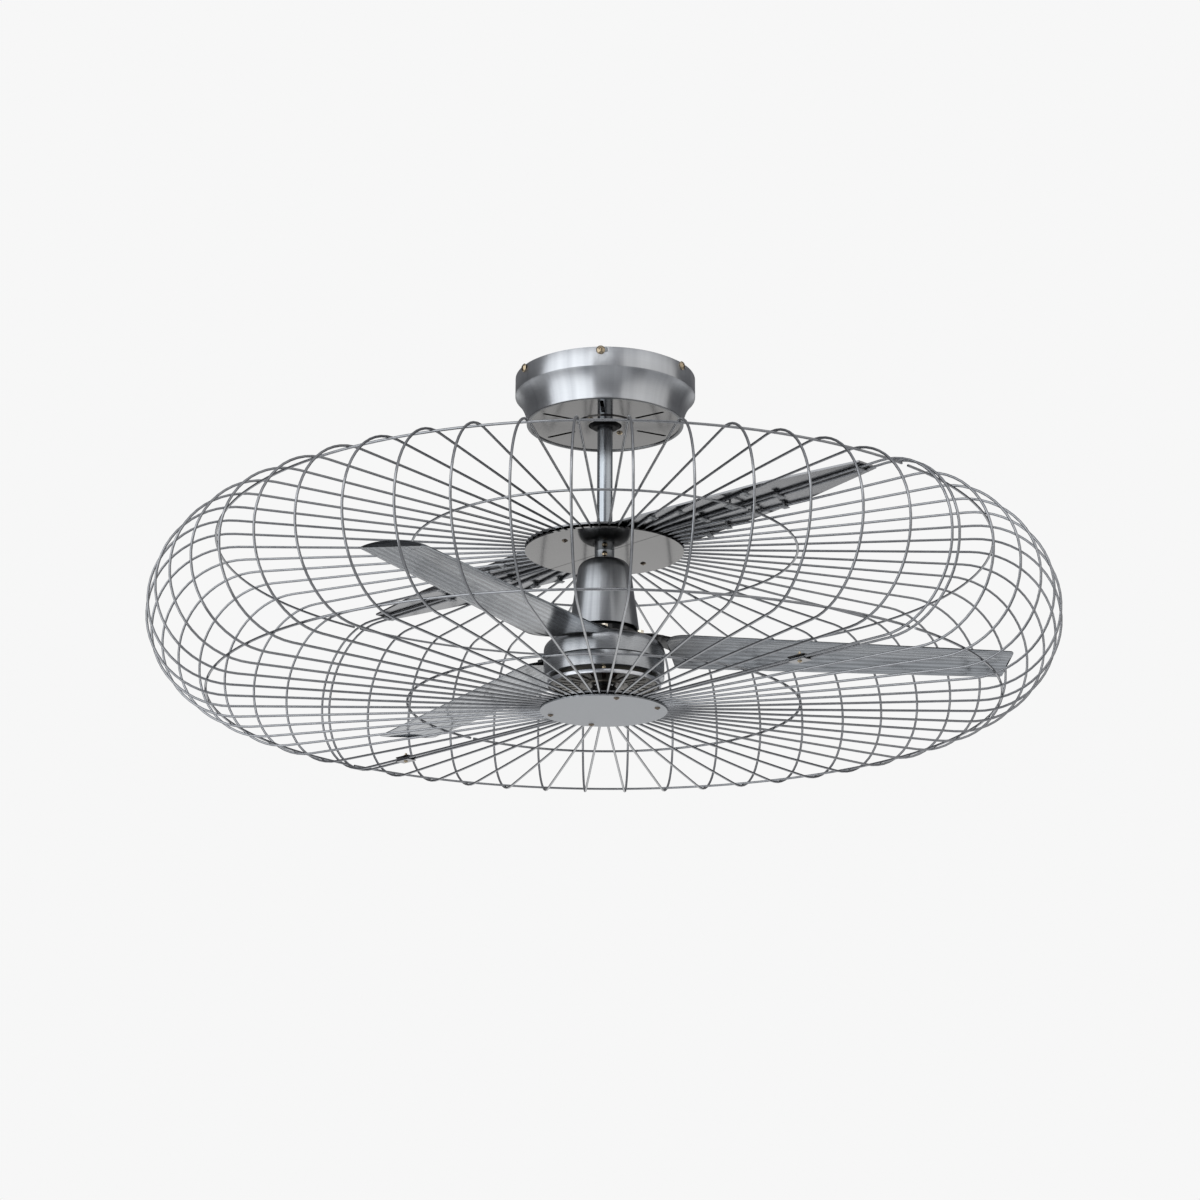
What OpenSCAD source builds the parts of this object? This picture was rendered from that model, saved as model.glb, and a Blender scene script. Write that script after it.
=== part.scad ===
// Caged ceiling fan: a three-blade rotor that turns inside a cage of bent steel
// wires, hung from a ball in a spun canopy. The ceiling is the plane z = 0 and
// the fan hangs down along -Z. The camera side of the fan is -Y.

/* [Canopy] */
// Radius of the canopy band
canopy_r = 119.5; // [116:0.5:126]
// Height of the canopy from rim to floor
canopy_h = 64; // [62:1:70]
// Height of the straight band above the cove
canopy_band_h = 25; // [22:1:28]
// Radius of the canopy at its bottom edge
canopy_bottom_r = 104; // [100:0.5:106]
// Wall thickness of the spun canopy
canopy_wall = 1.5; // [1.2:0.1:2]
// Gap between the canopy rim and the ceiling
canopy_gap = 2.5; // [2:0.1:3]
// Height of the lip that carries the canopy floor
lip_h = 1.2; // [1:0.1:1.5]
// Width of the lip
lip_w = 3; // [2.5:0.1:4]
// Thickness of the canopy floor plate
floor_t = 2; // [1.5:0.1:2.5]
// Number of vent slots in the canopy floor, and of screws around the rim
canopy_count = 6; // [6:1:6]
// Direction of the first vent slot and rim screw
canopy_start_deg = -33; // [-40:1:-20]
// Inner end of a vent slot
vent_r0 = 50; // [46:1:54]
// Outer end of a vent slot
vent_r1 = 89; // [80:1:91]
// Width of a vent slot
vent_w = 5; // [3:0.2:6]
// Shank radius of a rim screw
rim_screw_r = 2.5; // [2:0.1:2.8]
// Head radius of a rim screw
rim_head_r = 5.8; // [5:0.1:6]
// Head height of a rim screw
rim_head_h = 3.4; // [3:0.1:3.6]
// Distance of the rim screws from the canopy rim
rim_screw_drop = 3.8; // [3.6:0.1:5]
// Reach of a rim screw behind its head
rim_screw_l = 9; // [8:0.5:10]
// Distance that a rim screw slides along its bayonet notch
notch_l = 6; // [5.5:0.5:8]

/* [Ceiling mount] */
// Thickness of the ceiling plate
plate_t = 2.5; // [2:0.1:3]
// Gap between the ceiling plate and the canopy band
plate_edge_gap = 3.2; // [3:0.1:3.4]
// Height of the plate tabs that the rim screws are driven into
tab_h = 12; // [11:0.5:14]
// Width of a plate tab
tab_w = 16; // [14:1:20]
// Wall thickness of a plate tab
tab_t = 3.6; // [3.5:0.1:4]
// Pitch circle radius of the ceiling fixing holes
fix_pcr = 85; // [80:1:88]
// Radius of a ceiling fixing hole
fix_hole_r = 3.25; // [3:0.05:3.5]
// Spacing of the two junction box slots
box_spacing = 89; // [86:1:92]
// Half width of a junction box slot
box_slot_r = 2.6; // [2.2:0.1:3]
// End to end length of a junction box slot
box_slot_l = 16; // [14:1:18]
// Radius of the cable hole in the ceiling plate
cable_hole_r = 14; // [12:0.5:15]
// Wall of the rubber grommet in the cable hole
grommet_wall = 3; // [2.5:0.1:3.5]
// Thickness of the hanger bracket steel
bracket_t = 3; // [2.5:0.1:3.5]
// Width of the bracket straps
strap_w = 40; // [36:1:44]
// Half distance between the bracket straps
strap_x = 39; // [38:0.5:42]
// Thickness of the bracket seat
seat_t = 7; // [6:0.5:7]
// Distance of the seat's top under the ball centre
seat_drop = 1; // [0.8:0.1:1.2]
// Rim of the seat around the ball
seat_rim = 8; // [6:1:10]
// Length of a bracket foot
foot_l = 26; // [24:1:28]
// Distance from a strap to the foot screws
foot_screw_in = 14; // [12:1:16]
// Distance from a strap's edge to the foot screws
foot_screw_edge = 7; // [6:0.5:9]
// Distance from the axis to the terminal block
terminal_y = 60; // [56:1:64]
// Distance from the axis to the receiver
receiver_y = 56; // [54:1:60]

/* [Hanger] */
// Depth of the ball centre under the ceiling
ball_drop = 52; // [51:0.5:53]
// Radius of the hanger ball
ball_r = 25; // [24:0.5:26]
// How far the flat top of the ball lies under the top of its round
ball_top_cut = 4; // [3:0.5:5]
// How far the ball reaches down through its collar
ball_reach = 3.7; // [3:0.1:4.5]
// Wall of the liner between ball and seat
liner_t = 2.2; // [1.8:0.1:2.4]
// Outer radius of the downrod
rod_r = 10.2; // [9:0.1:11]
// Wall thickness of the downrod
rod_wall = 2; // [1.5:0.1:2.5]
// Radius of the cross pin through ball and downrod
pin_r = 3; // [2.5:0.1:3.5]
// How much wider than the downrod the mouth of the seat is
mouth_gap = 4; // [3:0.5:5]
// Outer radius of the ball collar under the canopy floor
collar_r = 38; // [36:0.5:40]
// How much narrower than the ball the collar's hole is
collar_lap = 3; // [2.6:0.1:3.2]
// How much wider than the ball the hole in the canopy floor is
floor_hole_gap = 1.5; // [1.5:0.1:2]
// Direction of the first collar screw
collar_screw_deg = 53; // [45:1:60]
// Head radius of a collar screw
collar_head_r = 4.2; // [3.8:0.1:4.6]
// Head height of a collar screw
collar_head_h = 3; // [2.5:0.1:3.2]
// Thickness of the ball collar
collar_t = 1.5; // [1.2:0.1:1.8]
// Outer radius of the neck coupler
neck_r = 13; // [12.5:0.1:14]
// Radius of the coupler flange between the cage plates
flange_r = 40; // [38:1:44]
// Distance of the flange screws from the flange's edge
flange_screw_in = 9; // [8:0.5:10]
// How far the coupler reaches above the spine plate
coupler_rise = 9; // [8:0.5:12]
// How far the coupler reaches down into the bell cover
coupler_reach = 22; // [20:0.5:24]
// Width of the coupler shoulder that carries the bell cover
bell_seat_w = 6; // [4:0.5:8]
// Height of the coupler shoulder
bell_seat_h = 3; // [2:0.5:4]
// Radius of a coupler screw
coupler_screw_r = 2.5; // [2:0.1:2.7]
// Direction of the first coupler screw
coupler_screw_deg = -89; // [-95:1:-85]

/* [Cage] */
// Depth of the upper cage wires under the ceiling
wire_top_drop = 238.5; // [232:0.5:246]
// Height of the cage between the upper and the lower wires
cage_h = 214.5; // [206:0.5:224]
// Radius of a cage wire
wire_r = 1.6; // [1.4:0.05:1.8]
// Distance from the axis to the centre of a wire's round bend
bend_centre_r = 478.4; // [474:0.5:500]
// Wires in each half of the cage
half_wires = 28; // [28:1:28]
// Angle between the last wires of the two halves at the seam
seam_deg = 1.3; // [1.2:0.05:1.5]
// Angle of the seam wires to the seam
seam_wire_deg = 0.44; // [0.4:0.02:0.5]
// Distance from the seam at which the seam wires would pass the axis
seam_wire_y = 2; // [1.8:0.1:2.2]
// Direction of the seam
seam_dir_deg = -46.6; // [-50:0.1:-44]
// Radius where the upper wires start
top_start_r = 78; // [76:1:84]
// Radius where the lower wires start
bottom_start_r = 66; // [62:1:70]
// Radius of the small ring of each face
small_ring_r = 252; // [246:1:260]
// How far the upper large ring lies outside the bend centres
upper_ring_out = 24.6; // [20:0.5:30]
// How far the lower large ring lies outside the bend centres
lower_ring_out = 28.6; // [20:0.5:34]
// Radius of the upper cage plate
top_plate_r = 104; // [100:1:110]
// Radius of the lower cage plate
bottom_plate_r = 82; // [80:1:90]
// Thickness of the cage plates
cage_plate_t = 2; // [1.5:0.1:2.5]
// Gap between the two halves of a plate at the seam
seam_gap = 1; // [0.8:0.1:1.5]
// Thickness of the spine plate on top of the cage
spine_t = 2.5; // [2:0.1:3]
// Half length of the spine plate
spine_half_l = 455; // [440:1:465]
// Half width of the spine plate at its middle
spine_mid_w = 62; // [60:1:64]
// Half width of the spine plate at its shoulders
spine_shoulder_w = 42; // [40:1:44]
// Distance of the shoulders from the axis
spine_shoulder_s = 321; // [310:1:330]
// Distance from the axis over which the spine keeps its full width
spine_waist_s = 100; // [98:1:110]
// Half width of the spine plate at its ends
spine_end_w = 16; // [15:1:18]
// Radius of the seam clip on the camera side
near_clip_r = 341; // [335:1:350]
// Radius of the seam clip on the far side
far_clip_r = 399; // [380:1:405]
// Length of a seam clip
clip_l = 26; // [22:1:30]
// Width of a seam clip
clip_w = 15; // [14:0.5:17]
// Thickness of the black upper part of a seam clip
clip_top_t = 1.5; // [1.2:0.1:2]
// Thickness of the sheet of the clips and saddles
clip_t = 1.2; // [1:0.1:1.4]
// Radius of a small cage screw
small_screw_r = 1.5; // [1.3:0.1:1.6]
// Head radius of a small cage screw
small_head_r = 3; // [2.8:0.1:3.2]
// Head height of a small cage screw
small_head_h = 2; // [1.8:0.1:2.2]
// Radius of a plate screw
plate_screw_r = 2; // [1.8:0.1:2.1]
// Head radius of a plate screw
plate_head_r = 3.9; // [3.7:0.1:4.1]
// Head height of a plate screw
plate_head_h = 2.4; // [2.2:0.1:2.6]
// Pitch circle radius of the plate screws
plate_screw_pcr = 70.5; // [70:0.5:72]
// Pitch circle radius of the screws of the lower plates
bottom_screw_pcr = 71.5; // [71:0.5:72]

/* [Motor] */
// Depth of the top of the bell cover under the upper cage wires
bell_drop = 16; // [14:0.5:18]
// Height of the bell cover
bell_h = 93.5; // [90:0.5:95]
// Radius of the bell cover below its dome
bell_top_r = 35.2; // [34:0.2:37]
// Radius of the bell cover at its bottom edge
bell_bottom_r = 45.5; // [45:0.5:47]
// Radius of the dome's round edge
dome_r = 17; // [15:0.5:19]
// Wall thickness of the bell cover
bell_wall = 1.5; // [1.2:0.1:1.8]
// Radius of the motor shaft
shaft_r = 8.5; // [8.5:0.5:8.5]
// Radius of the wire bore in the motor shaft
shaft_bore_r = 4.5; // [4:0.1:5]
// Outer radius of a bearing
bearing_r = 20; // [20:1:20]
// Width of a bearing
bearing_w = 12; // [11:1:12]
// Outer radius of the motor case
case_r = 78; // [76:1:80]
// Wall thickness of the motor case
case_wall = 6; // [5:0.5:7]
// Depth of the top of the motor case under the upper cage wires
case_drop = 127.5; // [126.5:0.5:128.5]
// Height of the upper case with the rounded shoulder
upper_case_h = 28; // [26:1:30]
// Height of the lower case band
lower_case_h = 19; // [18:1:20]
// Gap between the two case halves
case_gap = 1; // [0.8:0.1:1.4]
// Radius of the case's rounded shoulder
shoulder_r = 12; // [9:1:15]
// Depth of the dark groove under the case
recess_h = 5.5; // [5:0.1:6]
// Height of the trim ring under the groove
trim_h = 5; // [4.5:0.1:6]
// Wall thickness of the trim ring
trim_wall = 2.4; // [2:0.1:2.8]
// Width of a slot in the lower end bell
vent_slot_w = 4.8; // [4:0.1:5.2]
// Thickness of the end bell's web
web_t = 3; // [2.5:0.1:3.5]
// Radius of the upper part of the lower hub
hub_r = 16.5; // [16:0.1:17.5]
// Radius of the lower hub's ring
hub_ring_r = 23.5; // [23:0.1:24.5]
// Radius of the lower hub's foot
hub_foot_r = 28; // [27:0.5:30]
// Thickness of the lower hub's foot
hub_foot_t = 3; // [2.5:0.1:3.5]
// Pitch circle radius of the hub screws
hub_screw_pcr = 23; // [22.5:0.1:23.5]
// Radius of the flywheel flange
flywheel_r = 62; // [61:0.5:64]
// Thickness of the flywheel flange
flywheel_t = 3.5; // [3:0.1:4]
// Outer radius of the flywheel neck inside the bell
fly_neck_r = 41.5; // [40:0.5:42]
// Number of slots in the lower end bell
vent_ribs = 24; // [20:1:26]
// Outer radius of the trim ring under the case
trim_r = 74; // [73:0.5:75]
// Number of stator teeth
stator_teeth = 12; // [12:1:12]
// Radius of the stator core
stator_r = 50; // [48:1:51]
// Height of the stator core
stator_h = 24; // [20:1:26]

/* [Blades] */
// Radius of the blade tips
tip_r = 526; // [500:1:535]
// Radius where the blades start
blade_start_r = 78; // [77:0.5:82]
// Chord of a blade at its root
root_chord = 120; // [110:1:124]
// Chord of a blade at its tip
tip_chord = 90; // [80:1:100]
// Thickness of a blade
blade_t = 6; // [5:0.5:7]
// Camber of a blade
camber = 4; // [3:0.5:5]
// Pitch of a blade at its root
root_pitch = -6; // [-7:0.5:-5]
// Pitch of a blade at its tip
tip_pitch = -6.5; // [-8:0.5:-5]
// Depth of the blade roots under the case top
root_drop = 7.5; // [7:0.5:8]
// Further droop of the blade tips
tip_droop = 9; // [7:1:12]
// How much further out the trailing corner starts
root_slant = 17; // [14:1:19]
// Radius of the leading corner at the blade root
lead_corner_r = 24; // [20:1:28]
// Radius of the trailing corner at the blade root
trail_corner_r = 10; // [8:1:14]
// Radius of the corners at the blade tip
tip_corner_r = 5; // [4:0.5:8]
// Direction of the first blade
blade_dir_deg = 2.9; // [0:0.1:6]
// Thickness of a blade iron
iron_t = 2.5; // [2:0.1:3]
// Half width of an iron's foot on the flywheel
iron_foot_w = 31; // [30:0.5:33]
// Radius of the outer edge of an iron's foot
iron_foot_r = 76; // [74:0.5:78]
// Half width of an iron between foot and blade
iron_arm_w = 22; // [18:0.5:25]
// Radius of the inner edge of an iron's pad on the blade
pad_r0 = 96; // [94:0.5:98]
// Length of an iron's pad
pad_l = 58; // [54:1:62]
// Radius of the inner pair of blade screws
pad_screw_r0 = 105; // [104:0.5:107]
// Distance along the blade between the two pairs of blade screws
pad_screw_l = 41; // [38:0.5:43]
// Distance of the blade screws from the blade's middle
pad_screw_y = 28; // [26:0.5:30]
// Radius of a finger's round end on an iron
finger_r = 6.5; // [6:0.1:7.5]
// Radius of a blade screw
blade_screw_r = 2.2; // [2:0.1:2.4]
// Pitch circle radius of the iron bolts
iron_pcr = 52; // [51:0.5:53]
// Half angle between the two bolts of an iron
iron_bolt_deg = 28; // [26:1:30]
// Radius of an iron bolt
iron_bolt_r = 2.5; // [2:0.1:2.6]
// Radius over the corners of an iron bolt's head
bolt_head_r = 4.4; // [4:0.1:4.8]
// Height of an iron bolt's head
bolt_head_h = 5; // [4:0.5:5.5]

/* [Fits] */
// Gap between flat or round pieces that lie on each other
seat_gap = 0.2; // [0.15:0.05:0.3]
// Radial clearance of a screw or pin in its hole
hole_gap = 0.15; // [0.1:0.05:0.2]
// Gap at the blind end of a screw or a bore
end_gap = 0.3; // [0.2:0.05:0.4]
// Gap under a screw head on a round face
head_gap = 0.1; // [0.05:0.05:0.2]
// Radial clearance between ball, liner and seat
ball_gap = 0.3; // [0.2:0.05:0.4]
// Radial clearance of bearing rings and balls
bearing_gap = 0.05; // [0.03:0.01:0.08]

/* [Hidden] */
$fn = 96;
over = 0.5;
cut_l = 20;
notch_gap = 0.4;
floor_edge_gap = 0.5;
collar_screw_out = 2;
hub_gap = 1.2;
trim_lip = 1;
bearing_lid = 1.5;
bearing_floor = 2;
bearing_ring_t = 3.3;
bearing_ball_r = 3.6;
bearing_ball_count = 8;
boss_r = bearing_r + 6;
bottom_screw_wire = 4.5;
shaft_room = 4;
end_bell_room = 6;
neck_lap = 2;
rotor_ring_rise = 5;
rotor_ring_h = 23;
tooth_head = 4;
case_screw_count = 3;
case_screw_deg = -90;
blade_screw_end = 0.9;
section_steps = 10;
end_steps = 4;
mid_steps = 13;
corner_share = 0.9;
edge_share = 0.02;
aluminium = [0.66, 0.68, 0.70];
steel = [0.55, 0.57, 0.60];
black = [0.08, 0.08, 0.09];
brass = [0.72, 0.60, 0.42];
white = [0.88, 0.88, 0.84];
copper = [0.72, 0.40, 0.20];

rim_z = -canopy_gap;
floor_z = rim_z - canopy_h;
cove_h = canopy_h - canopy_band_h;
cove_in = canopy_r - canopy_bottom_r;
cove_r = (cove_in * cove_in + cove_h * cove_h) / (2 * cove_in);
rim_screw_z = rim_z - rim_screw_drop;
ceiling_plate_r = canopy_r - canopy_wall - plate_edge_gap;
floor_hole_r = ball_r + floor_hole_gap;
collar_bore_r = ball_r - collar_lap;

ball_z = -ball_drop;
ball_cut = -floor_z - ball_drop - lip_h + collar_t + ball_reach;
seat_r = ball_r + liner_t + 2 * ball_gap;
seat_top_z = ball_z - seat_drop;
rod_top_z = ball_z + ball_r - ball_top_cut;
mouth_w = 2 * rod_r + mouth_gap;

wire_top_z = -wire_top_drop;
wire_bottom_z = wire_top_z - cage_h;
bend_r = cage_h / 2;
wire_pitch = (180 - seam_deg) / (half_wires - 1);
spine_z = wire_top_z + wire_r + seat_gap;
top_plate_z = wire_top_z - wire_r - seat_gap;
inner_plate_z = wire_bottom_z + wire_r + seat_gap;
bottom_plate_z = wire_bottom_z - wire_r - seat_gap;
inner_plate_r = bottom_plate_r - 3;
ring_off = bend_r - 2 * wire_r - seat_gap;
bottom_screw_deg = seam_deg / 2 + bottom_screw_wire * wire_pitch;

bell_z = wire_top_z - bell_drop;
bell_bottom_z = bell_z - bell_h;
case_z = wire_top_z - case_drop;
upper_case_z = case_z - upper_case_h;
lower_case_z = upper_case_z - case_gap;
case_bottom_z = lower_case_z - lower_case_h;
recess_z = case_bottom_z - recess_h;
end_bell_z = recess_z - trim_h + trim_lip;
end_bell_r = trim_r - trim_wall - seat_gap;
upper_bearing_z = case_z - bearing_lid - bearing_w;
lower_bearing_z = end_bell_z + bearing_floor;
hub_top_z = end_bell_z - hub_gap;
hub_foot_z = inner_plate_z + cage_plate_t;
bell_seat_z = bell_z - bell_wall;
neck_bottom_z = bell_z - coupler_reach;
rod_bottom_z = bell_z + 2;
coupler_top_z = spine_z + spine_t + coupler_rise;
coupler_screw_z = (top_plate_z - cage_plate_t + bell_z) / 2;
shaft_bottom_z = inner_plate_z + 3;
ball_track_r = (shaft_r + bearing_r) / 2;
stator_z = upper_case_z - stator_h / 2;
blade_count = 3;
slot_half_deg = 180 / stator_teeth;
flywheel_top_z = case_z + flywheel_t;
blade_l = tip_r - blade_start_r;
blade_slope = atan(tip_droop / blade_l);
pad_mid_r = pad_r0 + pad_l / 2;
pad_pitch = root_pitch + (pad_mid_r - blade_start_r) / blade_l * (tip_pitch - root_pitch);
pad_lift = blade_t / 2 + camber / 2 + end_gap;

// Clips under the spine stand between the two seam wires at these radii
seam_tab_radii = [183, 311, 445];
// and beside the next wires, given as the radius and the wire counted from the seam
side_tab_places = [[290, 1], [187, 2], [151, 3]];
seam_tab_w = 18;
side_tab_gap = 1;
tab_l = 8;
saddle_w = 16;
saddle_y = 20;
clip_z = wire_top_z - wire_r - seat_gap;
saddle_z = wire_top_z - 3 * wire_r - 2 * seat_gap;
seam_clip_z = wire_bottom_z - wire_r - seat_gap - clip_t;
seam_nut_z = wire_bottom_z + wire_r + seat_gap + clip_top_t;

// A circle of copies around Z
module around(count, start = 0) {
    for (i = [0 : count - 1]) rotate(start + i * 360 / count) children();
}

// A tube between two heights
module tube(r_out, r_in, z_low, z_high) {
    translate([0, 0, z_low]) difference() {
        cylinder(r = r_out, h = z_high - z_low);
        translate([0, 0, -over]) cylinder(r = r_in, h = z_high - z_low + 2 * over);
    }
}

// A round bar between two heights
module bar(r, z_low, z_high) {
    translate([0, 0, z_low]) cylinder(r = r, h = z_high - z_low);
}

// A pan head screw along Z: the head's seat is at z = 0, the head points up
module pan_screw(r, length, head_r, head_h) {
    difference() {
        union() {
            translate([0, 0, -length]) cylinder(r = r, h = length + over);
            intersection() {
                cylinder(r = head_r, h = head_h);
                translate([0, 0, head_h - 1.25 * head_r]) sphere(r = 1.25 * head_r);
            }
        }
        cross_recess(head_r * 0.45, head_h);
    }
}

// The cross-shaped recess of a screw head
module cross_recess(reach, head_h) {
    recess_w = reach * 0.45;
    for (a = [0, 90]) rotate(a)
        translate([-reach, -recess_w / 2, head_h * 0.45])
            cube([2 * reach, recess_w, head_h]);
}

// A solid of half the plane, on the side the front half of the cage is on
module front_side(size, z_low, z_high) {
    rotate(seam_dir_deg) translate([-size, -size - seam_gap / 2, z_low])
        cube([2 * size, size, z_high - z_low]);
}

// The rear counterpart of front_side
module rear_side(size, z_low, z_high) {
    rotate(seam_dir_deg) translate([-size, seam_gap / 2, z_low])
        cube([2 * size, size, z_high - z_low]);
}

// The canopy's outline, drawn in by an inset
module canopy_profile(inset, low, high) {
    translate([0, floor_z + cove_h]) square([canopy_r - inset, canopy_band_h + high]);
    difference() {
        translate([0, floor_z - low]) square([canopy_r - inset, cove_h + low + over]);
        translate([canopy_bottom_r + cove_r, floor_z]) circle(r = cove_r + inset, $fn = 200);
        translate([canopy_bottom_r - inset, floor_z - low - over])
            square([cove_r, low + over]);
    }
}

module canopy() {
    color(aluminium) difference() {
        rotate_extrude() difference() {
            canopy_profile(0, 0, 0);
            difference() {
                canopy_profile(canopy_wall, over, over);
                translate([canopy_bottom_r - canopy_wall - lip_w, floor_z - 2 * over])
                    square([2 * lip_w, lip_h + 2 * over]);
            }
        }
        around(canopy_count, canopy_start_deg) rim_notch();
    }
}

// The bayonet notch of a rim screw: along the band, then up to the rim
module rim_notch() {
    notch_r = rim_screw_r + notch_gap;
    depth = 20;
    translate([canopy_r - depth / 2, 0, rim_screw_z]) rotate([0, 90, 0])
        cylinder(r = notch_r, h = depth);
    translate([canopy_r - depth / 2, 0, rim_screw_z - notch_r])
        cube([depth, notch_l, 2 * notch_r]);
    translate([canopy_r - depth / 2, notch_l - notch_r, rim_screw_z - notch_r])
        cube([depth, 2 * notch_r, depth]);
}

module canopy_floor() {
    floor_r = canopy_bottom_r - canopy_wall - floor_edge_gap;
    color(aluminium) difference() {
        translate([0, 0, floor_z + lip_h]) cylinder(r = floor_r, h = floor_t);
        translate([0, 0, floor_z]) cylinder(r = floor_hole_r, h = 3 * floor_t);
        around(canopy_count, canopy_start_deg + 360 / canopy_count) vent_slot();
        collar_screw_places() translate([0, 0, -10])
            cylinder(r = small_screw_r + hole_gap, h = 20);
    }
}

module vent_slot() {
    translate([vent_r0, -vent_w / 2, floor_z]) cube([vent_r1 - vent_r0, vent_w, 3 * floor_t]);
    for (r = [vent_r0, vent_r1])
        translate([r, 0, floor_z]) cylinder(r = vent_w / 2, h = 3 * floor_t);
}

module collar_screw_places() {
    around(2, collar_screw_deg)
        translate([(collar_r + floor_hole_r) / 2, 0, floor_z + lip_h - collar_t]) children();
}

module ball_collar() {
    color(aluminium) difference() {
        tube(collar_r, collar_bore_r, floor_z + lip_h - collar_t, floor_z + lip_h);
        collar_screw_places() translate([0, 0, -10])
            cylinder(r = small_screw_r + hole_gap, h = 20);
    }
}

module collar_screws() {
    color(brass) collar_screw_places() rotate([180, 0, 0])
        pan_screw(small_screw_r, collar_t + floor_t + collar_screw_out, collar_head_r,
            collar_head_h);
}

module canopy_screws() {
    color(brass) around(canopy_count, canopy_start_deg)
        translate([canopy_r + head_gap, 0, rim_screw_z]) rotate([0, 90, 0])
            pan_screw(rim_screw_r, rim_screw_l, rim_head_r, rim_head_h);
}

module mounting_plate() {
    tab_r = canopy_r - canopy_wall - seat_gap;
    color(steel) difference() {
        union() {
            translate([0, 0, -plate_t]) cylinder(r = ceiling_plate_r, h = plate_t);
            around(canopy_count, canopy_start_deg) intersection() {
                tube(tab_r, tab_r - tab_t, -tab_h, -plate_t / 2);
                translate([tab_r - cut_l / 2, -tab_w / 2, -tab_h]) cube([cut_l, tab_w, tab_h]);
            }
        }
        around(canopy_count, canopy_start_deg)
            translate([tab_r - cut_l / 2, 0, rim_screw_z]) rotate([0, 90, 0])
                cylinder(r = rim_screw_r + hole_gap, h = cut_l);
        around(4, 45) translate([fix_pcr, 0, -cut_l / 2]) cylinder(r = fix_hole_r, h = cut_l);
        for (y = [-box_spacing / 2, box_spacing / 2]) translate([0, y, 0]) rotate(90) box_slot();
        translate([0, 0, -cut_l / 2]) cylinder(r = cable_hole_r, h = cut_l);
        foot_screw_places() translate([0, 0, -cut_l / 2])
            cylinder(r = plate_screw_r + hole_gap, h = cut_l);
    }
}

// A slot for a junction box screw
module box_slot() {
    reach = box_slot_l / 2 - box_slot_r;
    translate([-reach, -box_slot_r, -cut_l / 2]) cube([2 * reach, 2 * box_slot_r, cut_l]);
    for (x = [-reach, reach]) translate([x, 0, -cut_l / 2]) cylinder(r = box_slot_r, h = cut_l);
}

module foot_screw_places() {
    for (x = [-1, 1], y = [-1, 1])
        translate([x * (strap_x + bracket_t + foot_screw_in),
            y * (strap_w / 2 - foot_screw_edge), 0]) children();
}

module hanger_bracket() {
    seat_w = seat_r + seat_rim;
    color(steel) difference() {
        union() {
            for (s = [-1, 1]) {
                translate([s * (strap_x + bracket_t / 2) - bracket_t / 2, -strap_w / 2,
                    seat_top_z - seat_t])
                    cube([bracket_t, strap_w, -plate_t - seat_top_z + seat_t]);
                translate([s * (strap_x + foot_l / 2) - foot_l / 2, -strap_w / 2,
                    -plate_t - bracket_t])
                    cube([foot_l, strap_w, bracket_t]);
            }
            translate([0, 0, seat_top_z - seat_t]) intersection() {
                cylinder(r = strap_x + bracket_t, h = seat_t);
                translate([-strap_x - bracket_t, -seat_w, 0])
                    cube([2 * (strap_x + bracket_t), 2 * seat_w, seat_t]);
            }
        }
        translate([0, 0, ball_z]) sphere(r = seat_r, $fn = 128);
        rod_mouth(seat_top_z - seat_t - over, seat_top_z + over);
        foot_screw_places() translate([0, 0, -cut_l]) cylinder(r = plate_screw_r + hole_gap, h = cut_l);
    }
}

module bracket_screws() {
    color(steel) foot_screw_places() translate([0, 0, -plate_t - bracket_t])
        rotate([180, 0, 0])
            pan_screw(plate_screw_r, bracket_t + plate_t - end_gap, plate_head_r, plate_head_h);
}

module cable_grommet() {
    lip_out = 1.5;
    lip_t = 2;
    squeeze = 0.1;
    color(black) difference() {
        union() {
            bar(cable_hole_r - squeeze, -plate_t - lip_t, -seat_gap);
            bar(cable_hole_r + lip_out, -plate_t - lip_t, -plate_t);
        }
        bar(cable_hole_r - grommet_wall, -plate_t - lip_t - over, over);
    }
}

module terminal_block() {
    block = [34, 18, 14];
    ways = 4;
    way_pitch = 8;
    wire_way_r = 2;
    screw_way_r = 1.8;
    color(white) translate([0, -terminal_y - block[1] / 2, -plate_t - block[2] / 2])
        difference() {
            cube(block, center = true);
            for (i = [0 : ways - 1]) translate([(i - (ways - 1) / 2) * way_pitch, 0, 0]) {
                rotate([90, 0, 0]) cylinder(r = wire_way_r, h = 2 * block[1], center = true);
                translate([0, 0, -block[2]]) cylinder(r = screw_way_r, h = block[2]);
            }
        }
}

module receiver_box() {
    box = [58, 22, 16];
    lead_r = 3;
    lead_depth = 5;
    color(black) translate([0, receiver_y + box[1] / 2, -plate_t - box[2] / 2]) difference() {
        cube(box, center = true);
        for (side = [-90, 90]) rotate([0, side, 0]) translate([0, 0, box[0] / 2 - lead_depth])
            cylinder(r = lead_r, h = 2 * lead_depth);
    }
}

// The mouth through which the downrod enters the seat
module rod_mouth(z_low, z_high) {
    translate([-mouth_w / 2, 0, z_low]) cube([mouth_w, 3 * ball_r, z_high - z_low]);
}

module seat_liner() {
    liner_h = 5;
    liner_top_z = seat_top_z - seat_gap;
    color(white) difference() {
        intersection() {
            translate([0, 0, ball_z]) sphere(r = ball_r + ball_gap + liner_t, $fn = 128);
            bar(2 * ball_r, liner_top_z - liner_h, liner_top_z);
        }
        translate([0, 0, ball_z]) sphere(r = ball_r + ball_gap, $fn = 128);
        rod_mouth(ball_z - ball_r, ball_z + ball_r);
    }
}

module hanger_ball() {
    color(black) difference() {
        intersection() {
            translate([0, 0, ball_z]) sphere(r = ball_r, $fn = 128);
            bar(2 * ball_r, ball_z - ball_cut, rod_top_z);
        }
        bar(rod_r + hole_gap, ball_z - 2 * ball_r, ball_z + 2 * ball_r);
        translate([-2 * ball_r, 0, ball_z]) rotate([0, 90, 0])
            cylinder(r = pin_r + hole_gap, h = 4 * ball_r);
    }
}

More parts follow.
